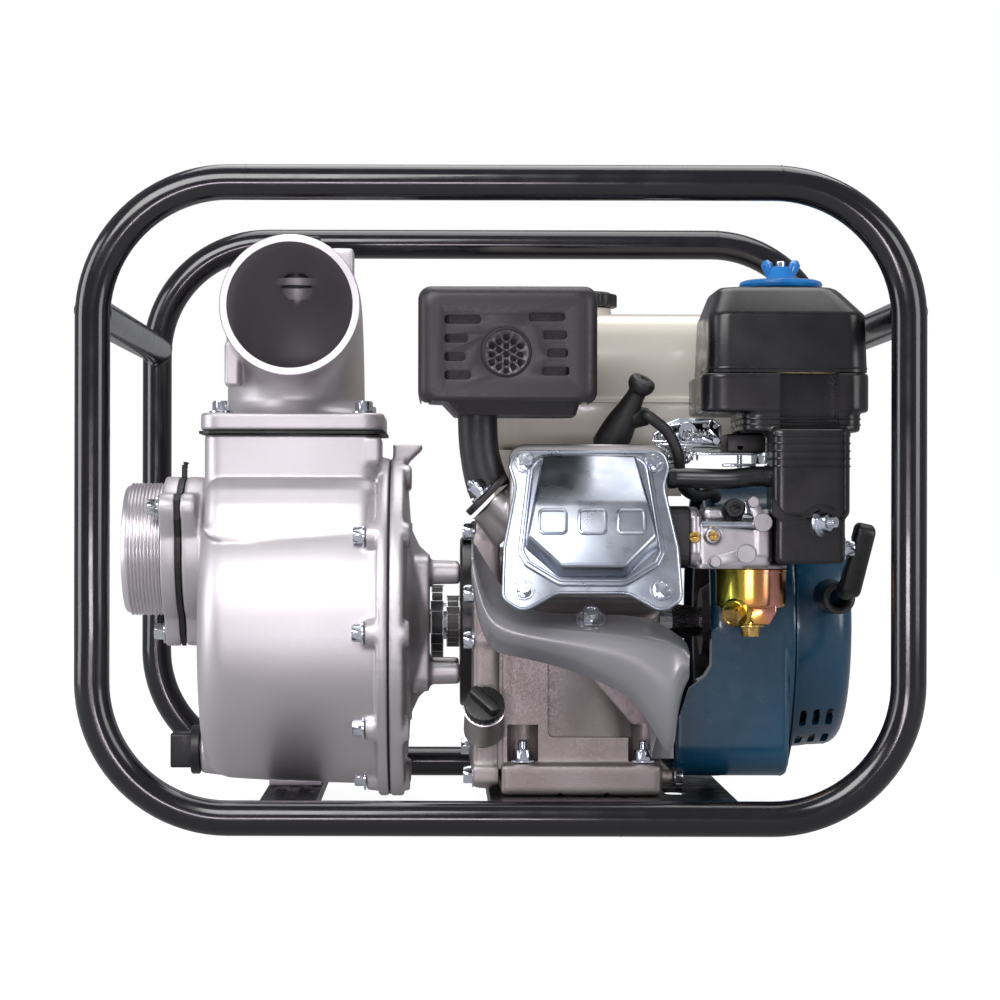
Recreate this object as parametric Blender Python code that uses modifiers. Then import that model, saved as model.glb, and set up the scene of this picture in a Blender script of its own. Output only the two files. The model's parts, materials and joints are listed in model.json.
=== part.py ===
"""Three inch water pump driven by a small four-stroke petrol engine, in a roll cage of bent steel tube.

The crankshaft runs along X: the pump is on its -X end and the rope starter on its +X end.
The cylinder leans toward -Y, the side of the carburettor, muffler and valve cover.
"""

import math

import bmesh
import bpy
from mathutils import Matrix, Vector

for old in list(bpy.data.objects):
    bpy.data.objects.remove(old)

# Driving dimensions, in metres
LENGTH = 0.502
WIDTH = 0.3893
HEIGHT = 0.3955
TUBE_D = 0.0213
CORNER_R = 0.080
CROSS_TUBE_Z = 0.308
SHEET = 0.003
GAP = 0.0003
SADDLE_GAP = 0.0016

CRANK = Vector((0.0, 0.022, 0.1185))
PTO_X = -0.022
CYLINDER_X = 0.055
CYLINDER_LEAN = math.radians(25)
COVER_FLANGE_L = 0.178

DRUM_R = 0.101
DRUM_Z = 0.112
DRUM_X = (-0.190, -0.075)
CASING_WALL = 0.006
CASING_FLANGE_R = 0.112
PORT_BORE_R = 0.040
THREAD_R = 0.04395
SUCTION_Z = 0.166
OUTLET_X = -0.131
OUTLET_Z = 0.241
ELBOW_WALL = 0.0048
ELBOW_BEND_R = 0.060
MOUTH = Vector((OUTLET_X, -0.065, 0.322))

TANK = (Vector((-0.005, -0.010, 0.232)), Vector((0.215, 0.150, 0.323)))
FAN_X = (0.111, 0.135, 0.190)
FAN_R = 0.102
FAN_WALL = 0.003
COIL_TOP = FAN_R - FAN_WALL - 0.0045
COIL_H = 0.011
RECOIL_X = 0.228
RECOIL_R = 0.082
CLEANER = (Vector((0.127, -0.135, 0.2763)), Vector((0.225, -0.035, 0.330)))
CARB = Vector((0.143, -0.110, 0.176))
MUFFLER = (Vector((-0.049, -0.155, 0.256)), Vector((0.059, -0.060, 0.327)))

TUBE_R = TUBE_D / 2
HOOP_Y = WIDTH / 2 - TUBE_R
SIDE_X = LENGTH / 2 - TUBE_R
TOP_Z = HEIGHT - TUBE_R
X_AXIS = Vector((1, 0, 0))
Y_AXIS = Vector((0, 1, 0))
Z_AXIS = Vector((0, 0, 1))
LEAN_OUT = Vector((0, -math.cos(CYLINDER_LEAN), math.sin(CYLINDER_LEAN)))
LEAN_UP = Vector((0, math.sin(CYLINDER_LEAN), math.cos(CYLINDER_LEAN)))

parts = bpy.data.collections.new("water_pump")
cutters = bpy.data.collections.new("cutters")
bpy.context.scene.collection.children.link(parts)
bpy.context.scene.collection.children.link(cutters)


# Modelling helpers
def add_object(name, data):
    obj = bpy.data.objects.new(name, data)
    parts.objects.link(obj)
    return obj


def from_bmesh(name, bm):
    bmesh.ops.recalc_face_normals(bm, faces=bm.faces)
    mesh = bpy.data.meshes.new(name)
    bm.to_mesh(mesh)
    bm.free()
    return add_object(name, mesh)


def from_curve(name, curve):
    """Turns a curve into a closed mesh, with its caps welded on."""
    guide = add_object(name + "_curve", curve)
    depsgraph = bpy.context.evaluated_depsgraph_get()
    mesh = bpy.data.meshes.new_from_object(guide.evaluated_get(depsgraph))
    bpy.data.objects.remove(guide)
    bm = bmesh.new()
    bm.from_mesh(mesh)
    bmesh.ops.remove_doubles(bm, verts=bm.verts, dist=1e-6)
    bpy.data.meshes.remove(mesh)
    return from_bmesh(name, bm)


def block(name, low, high, bevel=0.0, along="XYZ", segments=2):
    """A box between two corners, with the edges parallel to the axes in `along` rounded."""
    low, high = Vector(low), Vector(high)
    bm = bmesh.new()
    bmesh.ops.create_cube(bm, size=1.0)
    bmesh.ops.scale(bm, vec=high - low, verts=bm.verts)
    if bevel:
        wanted = [Vector(axis == letter for axis in "XYZ") for letter in along]
        edges = []
        for edge in bm.edges:
            run = (edge.verts[0].co - edge.verts[1].co).normalized()
            if any(abs(run.dot(axis)) > 0.9 for axis in wanted):
                edges.append(edge)
        bmesh.ops.bevel(bm, geom=edges, offset=bevel, segments=segments, profile=0.5, affect="EDGES")
    obj = from_bmesh(name, bm)
    obj.location = (low + high) / 2
    return obj


def point_along(obj, origin, direction):
    obj.location = origin
    obj.rotation_euler = Vector(direction).to_track_quat("Z", "Y").to_euler()
    return obj


def rod(name, start, end, radius, end_radius=None, sides=24):
    """A cylinder or cone between two points."""
    start, end = Vector(start), Vector(end)
    length = (end - start).length
    bm = bmesh.new()
    last = radius if end_radius is None else end_radius
    bmesh.ops.create_cone(bm, cap_ends=True, segments=sides, radius1=radius, radius2=last, depth=length)
    bmesh.ops.translate(bm, vec=(0, 0, length / 2), verts=bm.verts)
    return point_along(from_bmesh(name, bm), start, end - start)


def turned(name, profile, origin, axis=X_AXIS, steps=32, ring=False):
    """A turned piece: its profile is (place along the axis, radius), going up its outer side."""
    bm = bmesh.new()
    verts = [bm.verts.new((radius, 0, along)) for along, radius in reversed(profile)]
    for first, second in zip(verts, verts[1:]):
        bm.edges.new((first, second))
    if ring:
        bm.edges.new((verts[-1], verts[0]))
    obj = from_bmesh(name, bm)
    screw = obj.modifiers.new("Turn", "SCREW")
    screw.steps = steps
    screw.render_steps = steps
    screw.use_merge_vertices = True
    screw.merge_threshold = 0.00001
    return point_along(obj, origin, axis)


def pipe(name, start, end, outer, inner, steps=32):
    start, end = Vector(start), Vector(end)
    length = (end - start).length
    profile = [(0, inner), (0, outer), (length, outer), (length, inner)]
    return turned(name, profile, start, end - start, steps, ring=True)


def slab(name, outline, axis, low, high, holes=()):
    """A flat outline in the two other world axes, from low to high along `axis`."""
    curve = bpy.data.curves.new(name, "CURVE")
    curve.dimensions = "2D"
    curve.fill_mode = "BOTH"
    curve.extrude = (high - low) / 2
    for loop in (outline, *holes):
        spline = curve.splines.new("POLY")
        spline.points.add(len(loop) - 1)
        for point, (across, up) in zip(spline.points, loop):
            point.co = (across, up, 0, 1)
        spline.use_cyclic_u = True
    obj = from_curve(name, curve)
    turns = {
        "X": Matrix(((0, 0, 1), (1, 0, 0), (0, 1, 0))),
        "Y": Matrix(((1, 0, 0), (0, 0, -1), (0, 1, 0))),
        "Z": Matrix.Identity(3),
    }
    shift = Vector(axis == letter for letter in "XYZ") * (low + high) / 2
    obj.matrix_world = Matrix.Translation(shift) @ turns[axis].to_4x4()
    return obj


def tube(name, points, radius, closed=False, sides=12):
    curve = bpy.data.curves.new(name, "CURVE")
    curve.dimensions = "3D"
    curve.bevel_depth = radius
    curve.bevel_resolution = (sides - 4) // 2
    curve.use_fill_caps = not closed
    spline = curve.splines.new("POLY")
    spline.points.add(len(points) - 1)
    for point, place in zip(spline.points, points):
        point.co = (*place, 1)
    spline.use_cyclic_u = closed
    return from_curve(name, curve)


def loft(name, sections):
    """A solid skinned over rings of points, with the same number of points in each ring."""
    bm = bmesh.new()
    rings = [[bm.verts.new(point) for point in section] for section in sections]
    for lower, upper in zip(rings, rings[1:]):
        for index in range(len(lower)):
            following = (index + 1) % len(lower)
            bm.faces.new((lower[index], lower[following], upper[following], upper[index]))
    bm.faces.new(rings[0])
    bm.faces.new(rings[-1])
    return from_bmesh(name, bm)


def use_tools(body, tools, operation):
    for tool in tools:
        parts.objects.unlink(tool)
        cutters.objects.link(tool)
        tool.hide_render = True
        tool.display_type = "WIRE"
        modifier = body.modifiers.new(operation.title(), "BOOLEAN")
        modifier.operation = operation
        modifier.object = tool
    return body


def join(body, *tools):
    return use_tools(body, tools, "UNION")


def cut(body, *tools):
    return use_tools(body, tools, "DIFFERENCE")


def finish(obj, colour, roughness, metallic=0.0):
    mat = bpy.data.materials.new(obj.name)
    mat.use_nodes = True
    shader = mat.node_tree.nodes["Principled BSDF"]
    shader.inputs["Base Color"].default_value = (*colour, 1)
    shader.inputs["Roughness"].default_value = roughness
    shader.inputs["Metallic"].default_value = metallic
    obj.data.materials.append(mat)
    obj.data.shade_smooth()
    obj.data.set_sharp_from_angle(angle=math.radians(35))
    return obj


def put_pivot(obj, point):
    """Moves a piece's origin to a point on its joint's axis, leaving its shape where it is."""
    bpy.context.view_layer.update()
    shift = Matrix.Translation(obj.matrix_world.inverted() @ Vector(point))
    obj.data.transform(shift.inverted())
    obj.matrix_world = obj.matrix_world @ shift
    return obj


def rounded(corners, radius, steps=4):
    """A closed outline with an arc at each corner; radius is one value or one for each corner."""
    radii = radius if isinstance(radius, (list, tuple)) else [radius] * len(corners)
    outline = []
    for index, corner in enumerate(corners):
        here = Vector(corner)
        before = (Vector(corners[index - 1]) - here).normalized()
        after = (Vector(corners[(index + 1) % len(corners)]) - here).normalized()
        half = math.acos(max(-1.0, min(1.0, before.dot(after)))) / 2
        centre = here + (before + after).normalized() * radii[index] / math.sin(half)
        start = here + before * radii[index] / math.tan(half) - centre
        end = here + after * radii[index] / math.tan(half) - centre
        first = math.atan2(start.y, start.x)
        sweep = math.remainder(math.atan2(end.y, end.x) - first, math.tau)
        for step in range(steps + 1):
            angle = first + sweep * step / steps
            outline.append(centre + radii[index] * Vector((math.cos(angle), math.sin(angle))))
    return outline


def rectangle(low_a, high_a, low_b, high_b):
    return [(low_a, low_b), (high_a, low_b), (high_a, high_b), (low_a, high_b)]


def circle(centre_a, centre_b, radius, steps=24):
    turns = [math.tau * step / steps for step in range(steps)]
    return [(centre_a + radius * math.cos(t), centre_b + radius * math.sin(t)) for t in turns]


def lobed(centre_a, centre_b, disc, lobe_at, lobe_r, steps=36):
    """A disc run into three lobes, at 30, 150 and 270 degrees, as on a three-bolt flange."""
    outline = []
    meets = math.atan2(lobe_r * math.sin(math.pi / 3), lobe_at + lobe_r / 2)
    for step in range(steps):
        turn = math.tau * step / steps
        off = abs(math.remainder(turn - math.pi / 6, math.tau / 3))
        if off < meets:
            edge = lobe_at * math.cos(off) + math.sqrt(lobe_r**2 - (lobe_at * math.sin(off)) ** 2)
        else:
            edge = (lobe_at / 2 + lobe_r) / math.cos(math.pi / 3 - off)
        reach = max(disc, edge)
        outline.append((centre_a + reach * math.cos(turn), centre_b + reach * math.sin(turn)))
    return outline


def from_cylinder(x, up, out):
    """A place given by its X, its height above the cylinder's axis and its distance from the crank."""
    return CRANK + x * X_AXIS + up * LEAN_UP + out * LEAN_OUT


def leaning_loft(name, outlines):
    """A loft whose outlines, as (X, up), stand square to the leaning cylinder at given distances out."""
    return loft(name, [[from_cylinder(x, up, out) for x, up in outline] for out, outline in outlines])


# Roll cage
def hoop(name, y):
    corners = rectangle(-SIDE_X, SIDE_X, TUBE_R, TOP_Z)
    path = [(x, y, z) for x, z in rounded(corners, CORNER_R, steps=5)]
    return finish(tube(name, path, TUBE_R, closed=True, sides=12), (0.010, 0.009, 0.012), 0.18)


def cross_tube(name, x):
    body = pipe(name, (x, -HOOP_Y, CROSS_TUBE_Z), (x, HOOP_Y, CROSS_TUBE_Z), TUBE_R, TUBE_R - 0.002, 16)
    for side in (-1, 1):
        low = (x, side * HOOP_Y, CROSS_TUBE_Z - TUBE_D)
        high = (x, side * HOOP_Y, CROSS_TUBE_Z + TUBE_D)
        cut(body, rod(name + "_saddle", low, high, TUBE_R + SADDLE_GAP, sides=24))
    return finish(body, (0.010, 0.009, 0.012), 0.18)


def channel(name, x_low, x_high, top, drop):
    """A folded sheet between the hoops, open below."""
    reach = HOOP_Y - TUBE_R - GAP
    outline = [
        (x_low, top - drop),
        (x_low + SHEET, top - drop),
        (x_low + SHEET, top - SHEET),
        (x_high - SHEET, top - SHEET),
        (x_high - SHEET, top - drop),
        (x_high, top - drop),
        (x_high, top),
        (x_low, top),
    ]
    return slab(name, outline, "Y", -reach, reach)


PUMP_CHANNEL_TOP = DRUM_Z - DRUM_R - 0.0005
PUMP_CHANNEL_H = PUMP_CHANNEL_TOP - 0.0025
ENGINE_PLATE_TOP = 0.0135

hoop("hoop_front", -HOOP_Y)
hoop("hoop_rear", HOOP_Y)
cross_tube("cross_tube_left", -SIDE_X)
cross_tube("cross_tube_right", SIDE_X)
pump_channel = channel("pump_channel", -0.148, -0.1126, PUMP_CHANNEL_TOP, PUMP_CHANNEL_H)
finish(pump_channel, (0.012, 0.012, 0.013), 0.3)
engine_plate = channel("engine_plate", -0.004, 0.148, ENGINE_PLATE_TOP, 0.011)
for hole_x, hole_y in ((0.1135, -0.0525), (0.1135, 0.120), (0.040, -0.130), (0.040, 0.140)):
    slot = rounded(rectangle(hole_x - 0.0065, hole_x + 0.0065, hole_y - 0.020, hole_y + 0.020), 0.006)
    cut(engine_plate, slab("plate_slot", slot, "Z", 0.0, 0.03))
finish(engine_plate, (0.012, 0.012, 0.013), 0.3)


# Pump
CAST = (0.62, 0.59, 0.59)
RUBBER = (0.012, 0.012, 0.012)
BLACK = (0.014, 0.014, 0.015)
SHAFT_Y = CRANK.y
SUCTION = Vector((0, SHAFT_Y, SUCTION_Z))
CASING_FACE_X = -0.068
FLANGE_AXIS = Vector((0, SHAFT_Y, DRUM_Z + 0.003))
PORT_LOBE_AT = 0.0547
PORT_LOBE_R = 0.0095
PORT_DISC_R = 0.048
PORT_FACE_X = -0.2034
COUPLING_FACE_X = -0.2070
VALVE_RECESS_R = 0.0425
NECK_HALF = 0.057
NECK_WALL = Vector((CASING_WALL, CASING_WALL, 0))
SHOULDER = 0.019
DRAIN_Z = 0.033
COVER_X = (CASING_FACE_X + GAP, -0.056, -0.050, -0.042)
PAD_HALF = 0.0445
PILLAR_AT = 0.0326
FLAP_R = 0.038
FLAP_PIVOT = Vector((-0.1998, SHAFT_Y, SUCTION_Z + FLAP_R - 0.001))
GASKET_HALF = NECK_HALF + 0.0035
GASKET_TOP = OUTLET_Z + 0.002
ELBOW_FOOT_Z = GASKET_TOP + GAP
BOSS_TOP = 0.362
PLUG_R = 0.0105


def on_shaft(x):
    return CRANK + X_AXIS * x


def on_suction(x):
    return SUCTION + X_AXIS * x


def port_outline():
    return lobed(SHAFT_Y, SUCTION_Z, PORT_DISC_R, PORT_LOBE_AT, PORT_LOBE_R)


def drum_profile(inset):
    """The drum from the middle of its closed end to its open rim; its hollow is inset by the wall."""
    left, right = DRUM_X
    radius = DRUM_R - inset
    profile = [(left + inset, 0)]
    for step in range(4):
        turn = math.pi / 2 * step / 3
        along = left + inset + SHOULDER * (1 - math.cos(turn))
        profile.append((along, radius - SHOULDER * (1 - math.sin(turn))))
    profile.append((right, radius))
    return profile


def pump_casing():
    left, right = DRUM_X
    axis = Vector((0, SHAFT_Y, DRUM_Z))
    body = turned("pump_casing", [*drum_profile(0.0), (right, 0)], axis, steps=36)
    rim_start = FLANGE_AXIS + X_AXIS * right
    rim_end = FLANGE_AXIS + X_AXIS * CASING_FACE_X
    join(body, rod("rim", rim_start, rim_end, CASING_FLANGE_R, sides=36))
    neck_low = Vector((left + 0.002, SHAFT_Y - NECK_HALF, DRUM_Z + 0.04))
    neck_high = Vector((right + 0.002, SHAFT_Y + NECK_HALF, OUTLET_Z))
    join(body, block("neck", neck_low, neck_high, 0.012, "Z"))
    join(body, slab("port", port_outline(), "X", PORT_FACE_X, -0.193))
    join(body, rod("port_neck", on_suction(-0.194), on_suction(-0.180), PORT_DISC_R))
    drain = Vector((0, SHAFT_Y, DRAIN_Z))
    join(body, rod("drain_boss", drain + X_AXIS * -0.1937, drain + X_AXIS * -0.176, 0.0155))
    open_x = CASING_FACE_X + 0.01
    hollow = [*drum_profile(CASING_WALL), (open_x, DRUM_R - CASING_WALL), (open_x, 0)]
    cut(body, turned("hollow", hollow, axis, steps=20))
    inside_high = neck_high - NECK_WALL
    inside_high.z = OUTLET_Z - 0.010
    cut(body, block("neck_hollow", neck_low + NECK_WALL, inside_high, 0.008, "Z"))
    mouth = Vector((OUTLET_X, SHAFT_Y, OUTLET_Z))
    outlet_low = mouth - Z_AXIS * 0.03
    cut(body, rod("outlet", outlet_low, mouth + Z_AXIS * 0.01, PORT_BORE_R + 0.006, sides=20))
    cut(body, rod("inlet", on_suction(-0.21), on_suction(-0.17), VALVE_RECESS_R))
    cut(body, rod("drain_bore", drain + X_AXIS * -0.20, drain + X_AXIS * -0.16, 0.0113))
    return finish(body, CAST, 0.42, 0.9)


def back_cover():
    """The pump's back, with the square pad and four pillars that carry it on the engine."""
    plate, step, bulge, pad_face = COVER_X
    plate_start = FLANGE_AXIS + X_AXIS * plate
    body = rod("back_cover", plate_start, FLANGE_AXIS + X_AXIS * step, CASING_FLANGE_R, sides=36)
    join(body, rod("bulge", on_shaft(step - 0.002), on_shaft(bulge), 0.060, 0.046))
    low = CRANK - Vector((0, PAD_HALF, PAD_HALF))
    high = CRANK + Vector((0, PAD_HALF, PAD_HALF))
    pad = rounded(rectangle(low.y, high.y, low.z, high.z), 0.010)
    join(body, slab("pad", pad, "X", bulge - 0.004, pad_face))
    for side in (-1, 1):
        for up in (-1, 1):
            centre = CRANK + Vector((0, side * PILLAR_AT, up * PILLAR_AT))
            pillar_start = centre + X_AXIS * (pad_face - 0.004)
            pillar_end = centre + X_AXIS * (PTO_X - GAP)
            join(body, rod("pillar", pillar_start, pillar_end, 0.0075, sides=10))
    top = FLANGE_AXIS.z + CASING_FLANGE_R
    ear_low = (-0.062, SHAFT_Y - 0.014, top - 0.012)
    join(body, block("ear_top", ear_low, (-0.046, SHAFT_Y + 0.014, top + 0.009), 0.003, "Y"))
    cut(body, rod("shaft_bore", on_shaft(-0.08), on_shaft(-0.03), 0.0125))
    return finish(body, CAST, 0.42, 0.9)


def suction_coupling():
    body = pipe("suction_coupling", on_suction(-0.243), on_suction(-0.210), THREAD_R, 0.038)
    join(body, slab("coupling_flange", port_outline(), "X", -0.217, COUPLING_FACE_X))
    cut(body, rod("coupling_bore", on_suction(-0.25), on_suction(-0.20), 0.038, sides=32))
    return finish(body, CAST, 0.3, 0.95)


def valve_gasket():
    """The rubber behind the coupling, with the tab it is pulled out by."""
    left = COUPLING_FACE_X + GAP
    right = PORT_FACE_X - GAP
    bore = circle(SHAFT_Y, SUCTION_Z, 0.035)
    body = slab("valve_gasket", port_outline(), "X", left, right, holes=[bore])
    top = SUCTION_Z + PORT_DISC_R
    tab_low = (left, SHAFT_Y - 0.004, top - 0.003)
    join(body, block("tab", tab_low, (right, SHAFT_Y + 0.004, top + 0.008)))
    return finish(body, RUBBER, 0.7)


def check_valve_flap():
    body = rod("check_valve_flap", on_suction(-0.2028), on_suction(-0.1988), FLAP_R)
    join(body, rod("flap_weight", on_suction(-0.1990), on_suction(-0.1950), 0.022, sides=16))
    return put_pivot(finish(body, RUBBER, 0.7), FLAP_PIVOT)


def outlet_square(half):
    corners = rectangle(OUTLET_X - half, OUTLET_X + half, SHAFT_Y - half, SHAFT_Y + half)
    return rounded(corners, 0.012)


def outlet_gasket():
    bore = circle(OUTLET_X, SHAFT_Y, PORT_BORE_R + 0.004)
    outline = outlet_square(GASKET_HALF)
    body = slab("outlet_gasket", outline, "Z", OUTLET_Z + GAP, GASKET_TOP, holes=[bore])
    return finish(body, RUBBER, 0.6)


def elbow_path(below, beyond):
    """The elbow's middle line: up from the flange, round a quarter turn and out to the mouth."""
    turn_z = MOUTH.z - ELBOW_BEND_R
    points = [Vector((OUTLET_X, SHAFT_Y, below))]
    for step in range(7):
        turn = math.pi / 2 * step / 6
        across = SHAFT_Y - ELBOW_BEND_R * (1 - math.cos(turn))
        points.append(Vector((OUTLET_X, across, turn_z + ELBOW_BEND_R * math.sin(turn))))
    points.append(MOUTH - Y_AXIS * beyond)
    return points


def discharge_elbow():
    foot_top = ELBOW_FOOT_Z + 0.0116
    outline = outlet_square(NECK_HALF + 0.0025)
    body = slab("discharge_elbow", outline, "Z", ELBOW_FOOT_Z, foot_top)
    bend = elbow_path(ELBOW_FOOT_Z + 0.004, 0.0)
    join(body, tube("elbow_bend", bend, PORT_BORE_R + ELBOW_WALL, sides=24))
    above = Vector((OUTLET_X, SHAFT_Y, 0))
    join(body, rod("priming_boss", above + Z_AXIS * 0.330, above + Z_AXIS * BOSS_TOP, 0.0165))
    lug_low = (OUTLET_X - 0.043, -0.032, 0.273)
    join(body, block("lug_left", lug_low, (OUTLET_X - 0.034, -0.010, 0.300), 0.002))
    lug_low = (OUTLET_X + 0.020, 0.000, 0.340)
    join(body, block("lug_right", lug_low, (OUTLET_X + 0.038, 0.024, 0.366), 0.003))
    cut(body, tube("elbow_bore", elbow_path(ELBOW_FOOT_Z - 0.02, 0.02), PORT_BORE_R, sides=20))
    cut(body, rod("priming_bore", above + Z_AXIS * 0.32, above + Z_AXIS * 0.38, PLUG_R + GAP))
    return finish(body, CAST, 0.42, 0.9)


def priming_plug():
    """A threaded plug with a bar across its head."""
    seat = BOSS_TOP + GAP
    head = 0.3665
    profile = [(0.340, 0), (0.340, PLUG_R), (seat, PLUG_R), (seat, 0.0185), (head, 0.0185), (head, 0)]
    body = turned("priming_plug", profile, Vector((OUTLET_X, SHAFT_Y, 0)), Z_AXIS)
    bar_low = (OUTLET_X - 0.016, SHAFT_Y - 0.004, 0.366)
    join(body, block("plug_bar", bar_low, (OUTLET_X + 0.016, SHAFT_Y + 0.004, 0.374)))
    return finish(body, BLACK, 0.5)


def drain_plug():
    """A threaded plug with a square knob."""
    start, seat, end = -0.2000, -0.1940, -0.1790
    profile = [(start, 0), (start, 0.01625), (seat, 0.01625), (seat, 0.011), (end, 0.011), (end, 0)]
    body = turned("drain_plug", profile, Vector((0, SHAFT_Y, DRAIN_Z)))
    knob_low = (-0.2134, SHAFT_Y - 0.0115, DRAIN_Z - 0.0115)
    knob_high = (-0.1990, SHAFT_Y + 0.0115, DRAIN_Z + 0.0115)
    join(body, block("drain_knob", knob_low, knob_high, 0.003, "X"))
    return finish(body, BLACK, 0.5)


pump_casing()
back_cover()
suction_coupling()
valve_gasket()
check_valve_flap()
outlet_gasket()
discharge_elbow()
priming_plug()
drain_plug()

# Inside the pump: the volute, the impeller on the crankshaft and the seal behind it
IRON = (0.30, 0.30, 0.31)
VOLUTE_X = (-0.135, CASING_FACE_X)
VOLUTE_GAP = 0.0085
VOLUTE_R = DRUM_R - CASING_WALL - abs(CRANK.z - DRUM_Z) - VOLUTE_GAP
VOLUTE_WALL = 0.005
VOLUTE_EYE_R = 0.030
IMPELLER_GAP = 0.013
IMPELLER_R = VOLUTE_R - VOLUTE_WALL - IMPELLER_GAP
IMPELLER_X = (-0.112, -0.082, -0.077)
VANES = 4
SHAFT_R = 0.008


def volute():
    left, right = VOLUTE_X
    profile = [
        (left, VOLUTE_EYE_R),
        (left, 0.045),
        (left + 0.016, VOLUTE_R),
        (right, VOLUTE_R),
        (right, VOLUTE_R - VOLUTE_WALL),
        (left + 0.019, VOLUTE_R - VOLUTE_WALL),
        (left + 0.006, VOLUTE_EYE_R),
    ]
    body = turned("volute", profile, CRANK, steps=20, ring=True)
    top = CRANK + Z_AXIS * (VOLUTE_R - 0.012)
    mouth_low = top + Vector((-0.112, -0.060, 0))
    cut(body, block("volute_mouth", mouth_low, top + Vector((-0.078, 0.0, 0.04))))
    return finish(body, IRON, 0.6, 0.6)


def impeller():
    """A hub and back plate, with vanes that curve back from the hub to the rim."""
    nose, plate, back = IMPELLER_X
    bore = SHAFT_R + GAP
    profile = [
        (nose, bore),
        (nose, 0.016),
        (plate, 0.020),
        (plate, IMPELLER_R),
        (back, IMPELLER_R),
        (back, bore),
    ]
    body = turned("impeller", profile, CRANK, steps=20, ring=True)
    for index in range(VANES):
        vane_path = []
        for step in range(4):
            turn = math.tau * index / VANES + math.radians(20) * step
            reach = 0.014 + (IMPELLER_R - 0.016) * step / 3
            vane_path.append(Vector((0, math.cos(turn), math.sin(turn))) * reach)
        outline = [(CRANK.y + place.y, CRANK.z + place.z) for place in vane_path]
        for place in reversed(vane_path):
            aside = place + X_AXIS.cross(place).normalized() * 0.004
            outline.append((CRANK.y + aside.y, CRANK.z + aside.z))
        join(body, slab("vane", outline, "X", nose + 0.006, plate + 0.001))
    return finish(body, IRON, 0.6, 0.6)


def mechanical_seal():
    end = on_shaft(CASING_FACE_X - 0.0002)
    body = pipe("mechanical_seal", on_shaft(IMPELLER_X[2] + 0.0005), end, 0.018, SHAFT_R + 0.0005, 16)
    return finish(body, (0.05, 0.05, 0.05), 0.5)


volute()
impeller()
mechanical_seal()

# Crankshaft, turning in the crankcase and carrying the impeller and the flywheel
STEEL = (0.55, 0.55, 0.56)
PIN_AT = 0.027
PIN_R = 0.0125
WEB_X = (0.033, 0.045, 0.065, 0.077)
WEB_R = 0.040
JOURNAL_R = 0.0125
JOURNAL_BORE_R = JOURNAL_R + 0.0005
FLYWHEEL_GAP = 0.0035
FLYWHEEL_R = COIL_TOP - COIL_H - FLYWHEEL_GAP
FLYWHEEL_RIM = 0.012
FLYWHEEL_X = (0.1375, 0.1395, 0.150, 0.163)
FLYWHEEL_FINS = 8


def crankshaft():
    profile = [
        (-0.118, 0),
        (-0.118, SHAFT_R),
        (-0.0415, SHAFT_R),
        (-0.0415, 0.024),
        (-0.033, 0.024),
        (-0.033, 0.012),
        (-0.031, 0.012),
        (-0.031, 0.017),
        (-0.0225, 0.017),
        (-0.0225, JOURNAL_R),
        (0.038, JOURNAL_R),
        (0.038, 0),
    ]
    body = turned("crankshaft", profile, CRANK, steps=20)
    pin = CRANK + LEAN_OUT * PIN_AT
    join(body, rod("web_left", on_shaft(WEB_X[0]), on_shaft(WEB_X[1]), WEB_R))
    join(body, rod("web_right", on_shaft(WEB_X[2]), on_shaft(WEB_X[3]), WEB_R))
    pin_start = pin + X_AXIS * (WEB_X[1] - 0.002)
    join(body, rod("crank_pin", pin_start, pin + X_AXIS * (WEB_X[2] + 0.002), PIN_R, sides=16))
    tail = [(0.070, 0), (0.070, JOURNAL_R), (0.118, JOURNAL_R), (0.136, 0.0095), (0.184, 0.0095), (0.184, 0)]
    join(body, turned("tail", tail, CRANK, steps=20))
    return finish(body, STEEL, 0.3, 1.0)


def flywheel():
    """An iron wheel with cooling fins on its outer face."""
    left, rim_left, web, right = FLYWHEEL_X
    profile = [
        (left, 0.0103),
        (left, 0.022),
        (web, 0.030),
        (web, FLYWHEEL_R - FLYWHEEL_RIM),
        (rim_left, FLYWHEEL_R - FLYWHEEL_RIM),
        (rim_left, FLYWHEEL_R),
        (right, FLYWHEEL_R),
        (right, 0.0103),
    ]
    body = turned("flywheel", profile, CRANK, steps=24, ring=True)
    fin_end = FLYWHEEL_R - 0.003
    for index in range(FLYWHEEL_FINS):
        turn = math.tau * index / FLYWHEEL_FINS
        out = Vector((0, math.cos(turn), math.sin(turn)))
        side = X_AXIS.cross(out) * 0.002
        outline = []
        for reach, sign in ((0.045, -1), (fin_end, -1), (fin_end, 1), (0.045, 1)):
            place = CRANK + out * reach + side * sign
            outline.append((place.y, place.z))
        join(body, slab("fin", outline, "X", right - 0.002, 0.176))
    return finish(body, (0.35, 0.35, 0.36), 0.5, 0.9)


crankshaft()
flywheel()

# Crankcase, with the cylinder barrel leaning out of its front
CASE_COLOUR = (0.42, 0.38, 0.37)
CASE_X = (0.0025, 0.103)
CASE_Y = (-0.088, 0.100)
BASE_TOP = 0.0335
CASE_TOP = 0.168
HEAD_L = 0.118
BLOCK_HALF = 0.044
BORE_R = 0.034
FILLER = Vector((-0.008, -0.112, 0.0735))
FILLER_LEAN = math.radians(35)
FILLER_OUT = Vector((0, -math.cos(FILLER_LEAN), math.sin(FILLER_LEAN)))
PLUG_FOOT = from_cylinder(0.064, BLOCK_HALF, 0.150)
PLUG_OUT = (Vector((0.091, -0.120, 0.276)) - PLUG_FOOT).normalized()
HEAD_FINS = 3
FIN_PITCH = 0.014


def square_block(name, x_low, start, end):
    outline = rounded(rectangle(x_low, CASE_X[1], -BLOCK_HALF, BLOCK_HALF), 0.008, steps=2)
    return leaning_loft(name, [(start, outline), (end, outline)])


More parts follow.
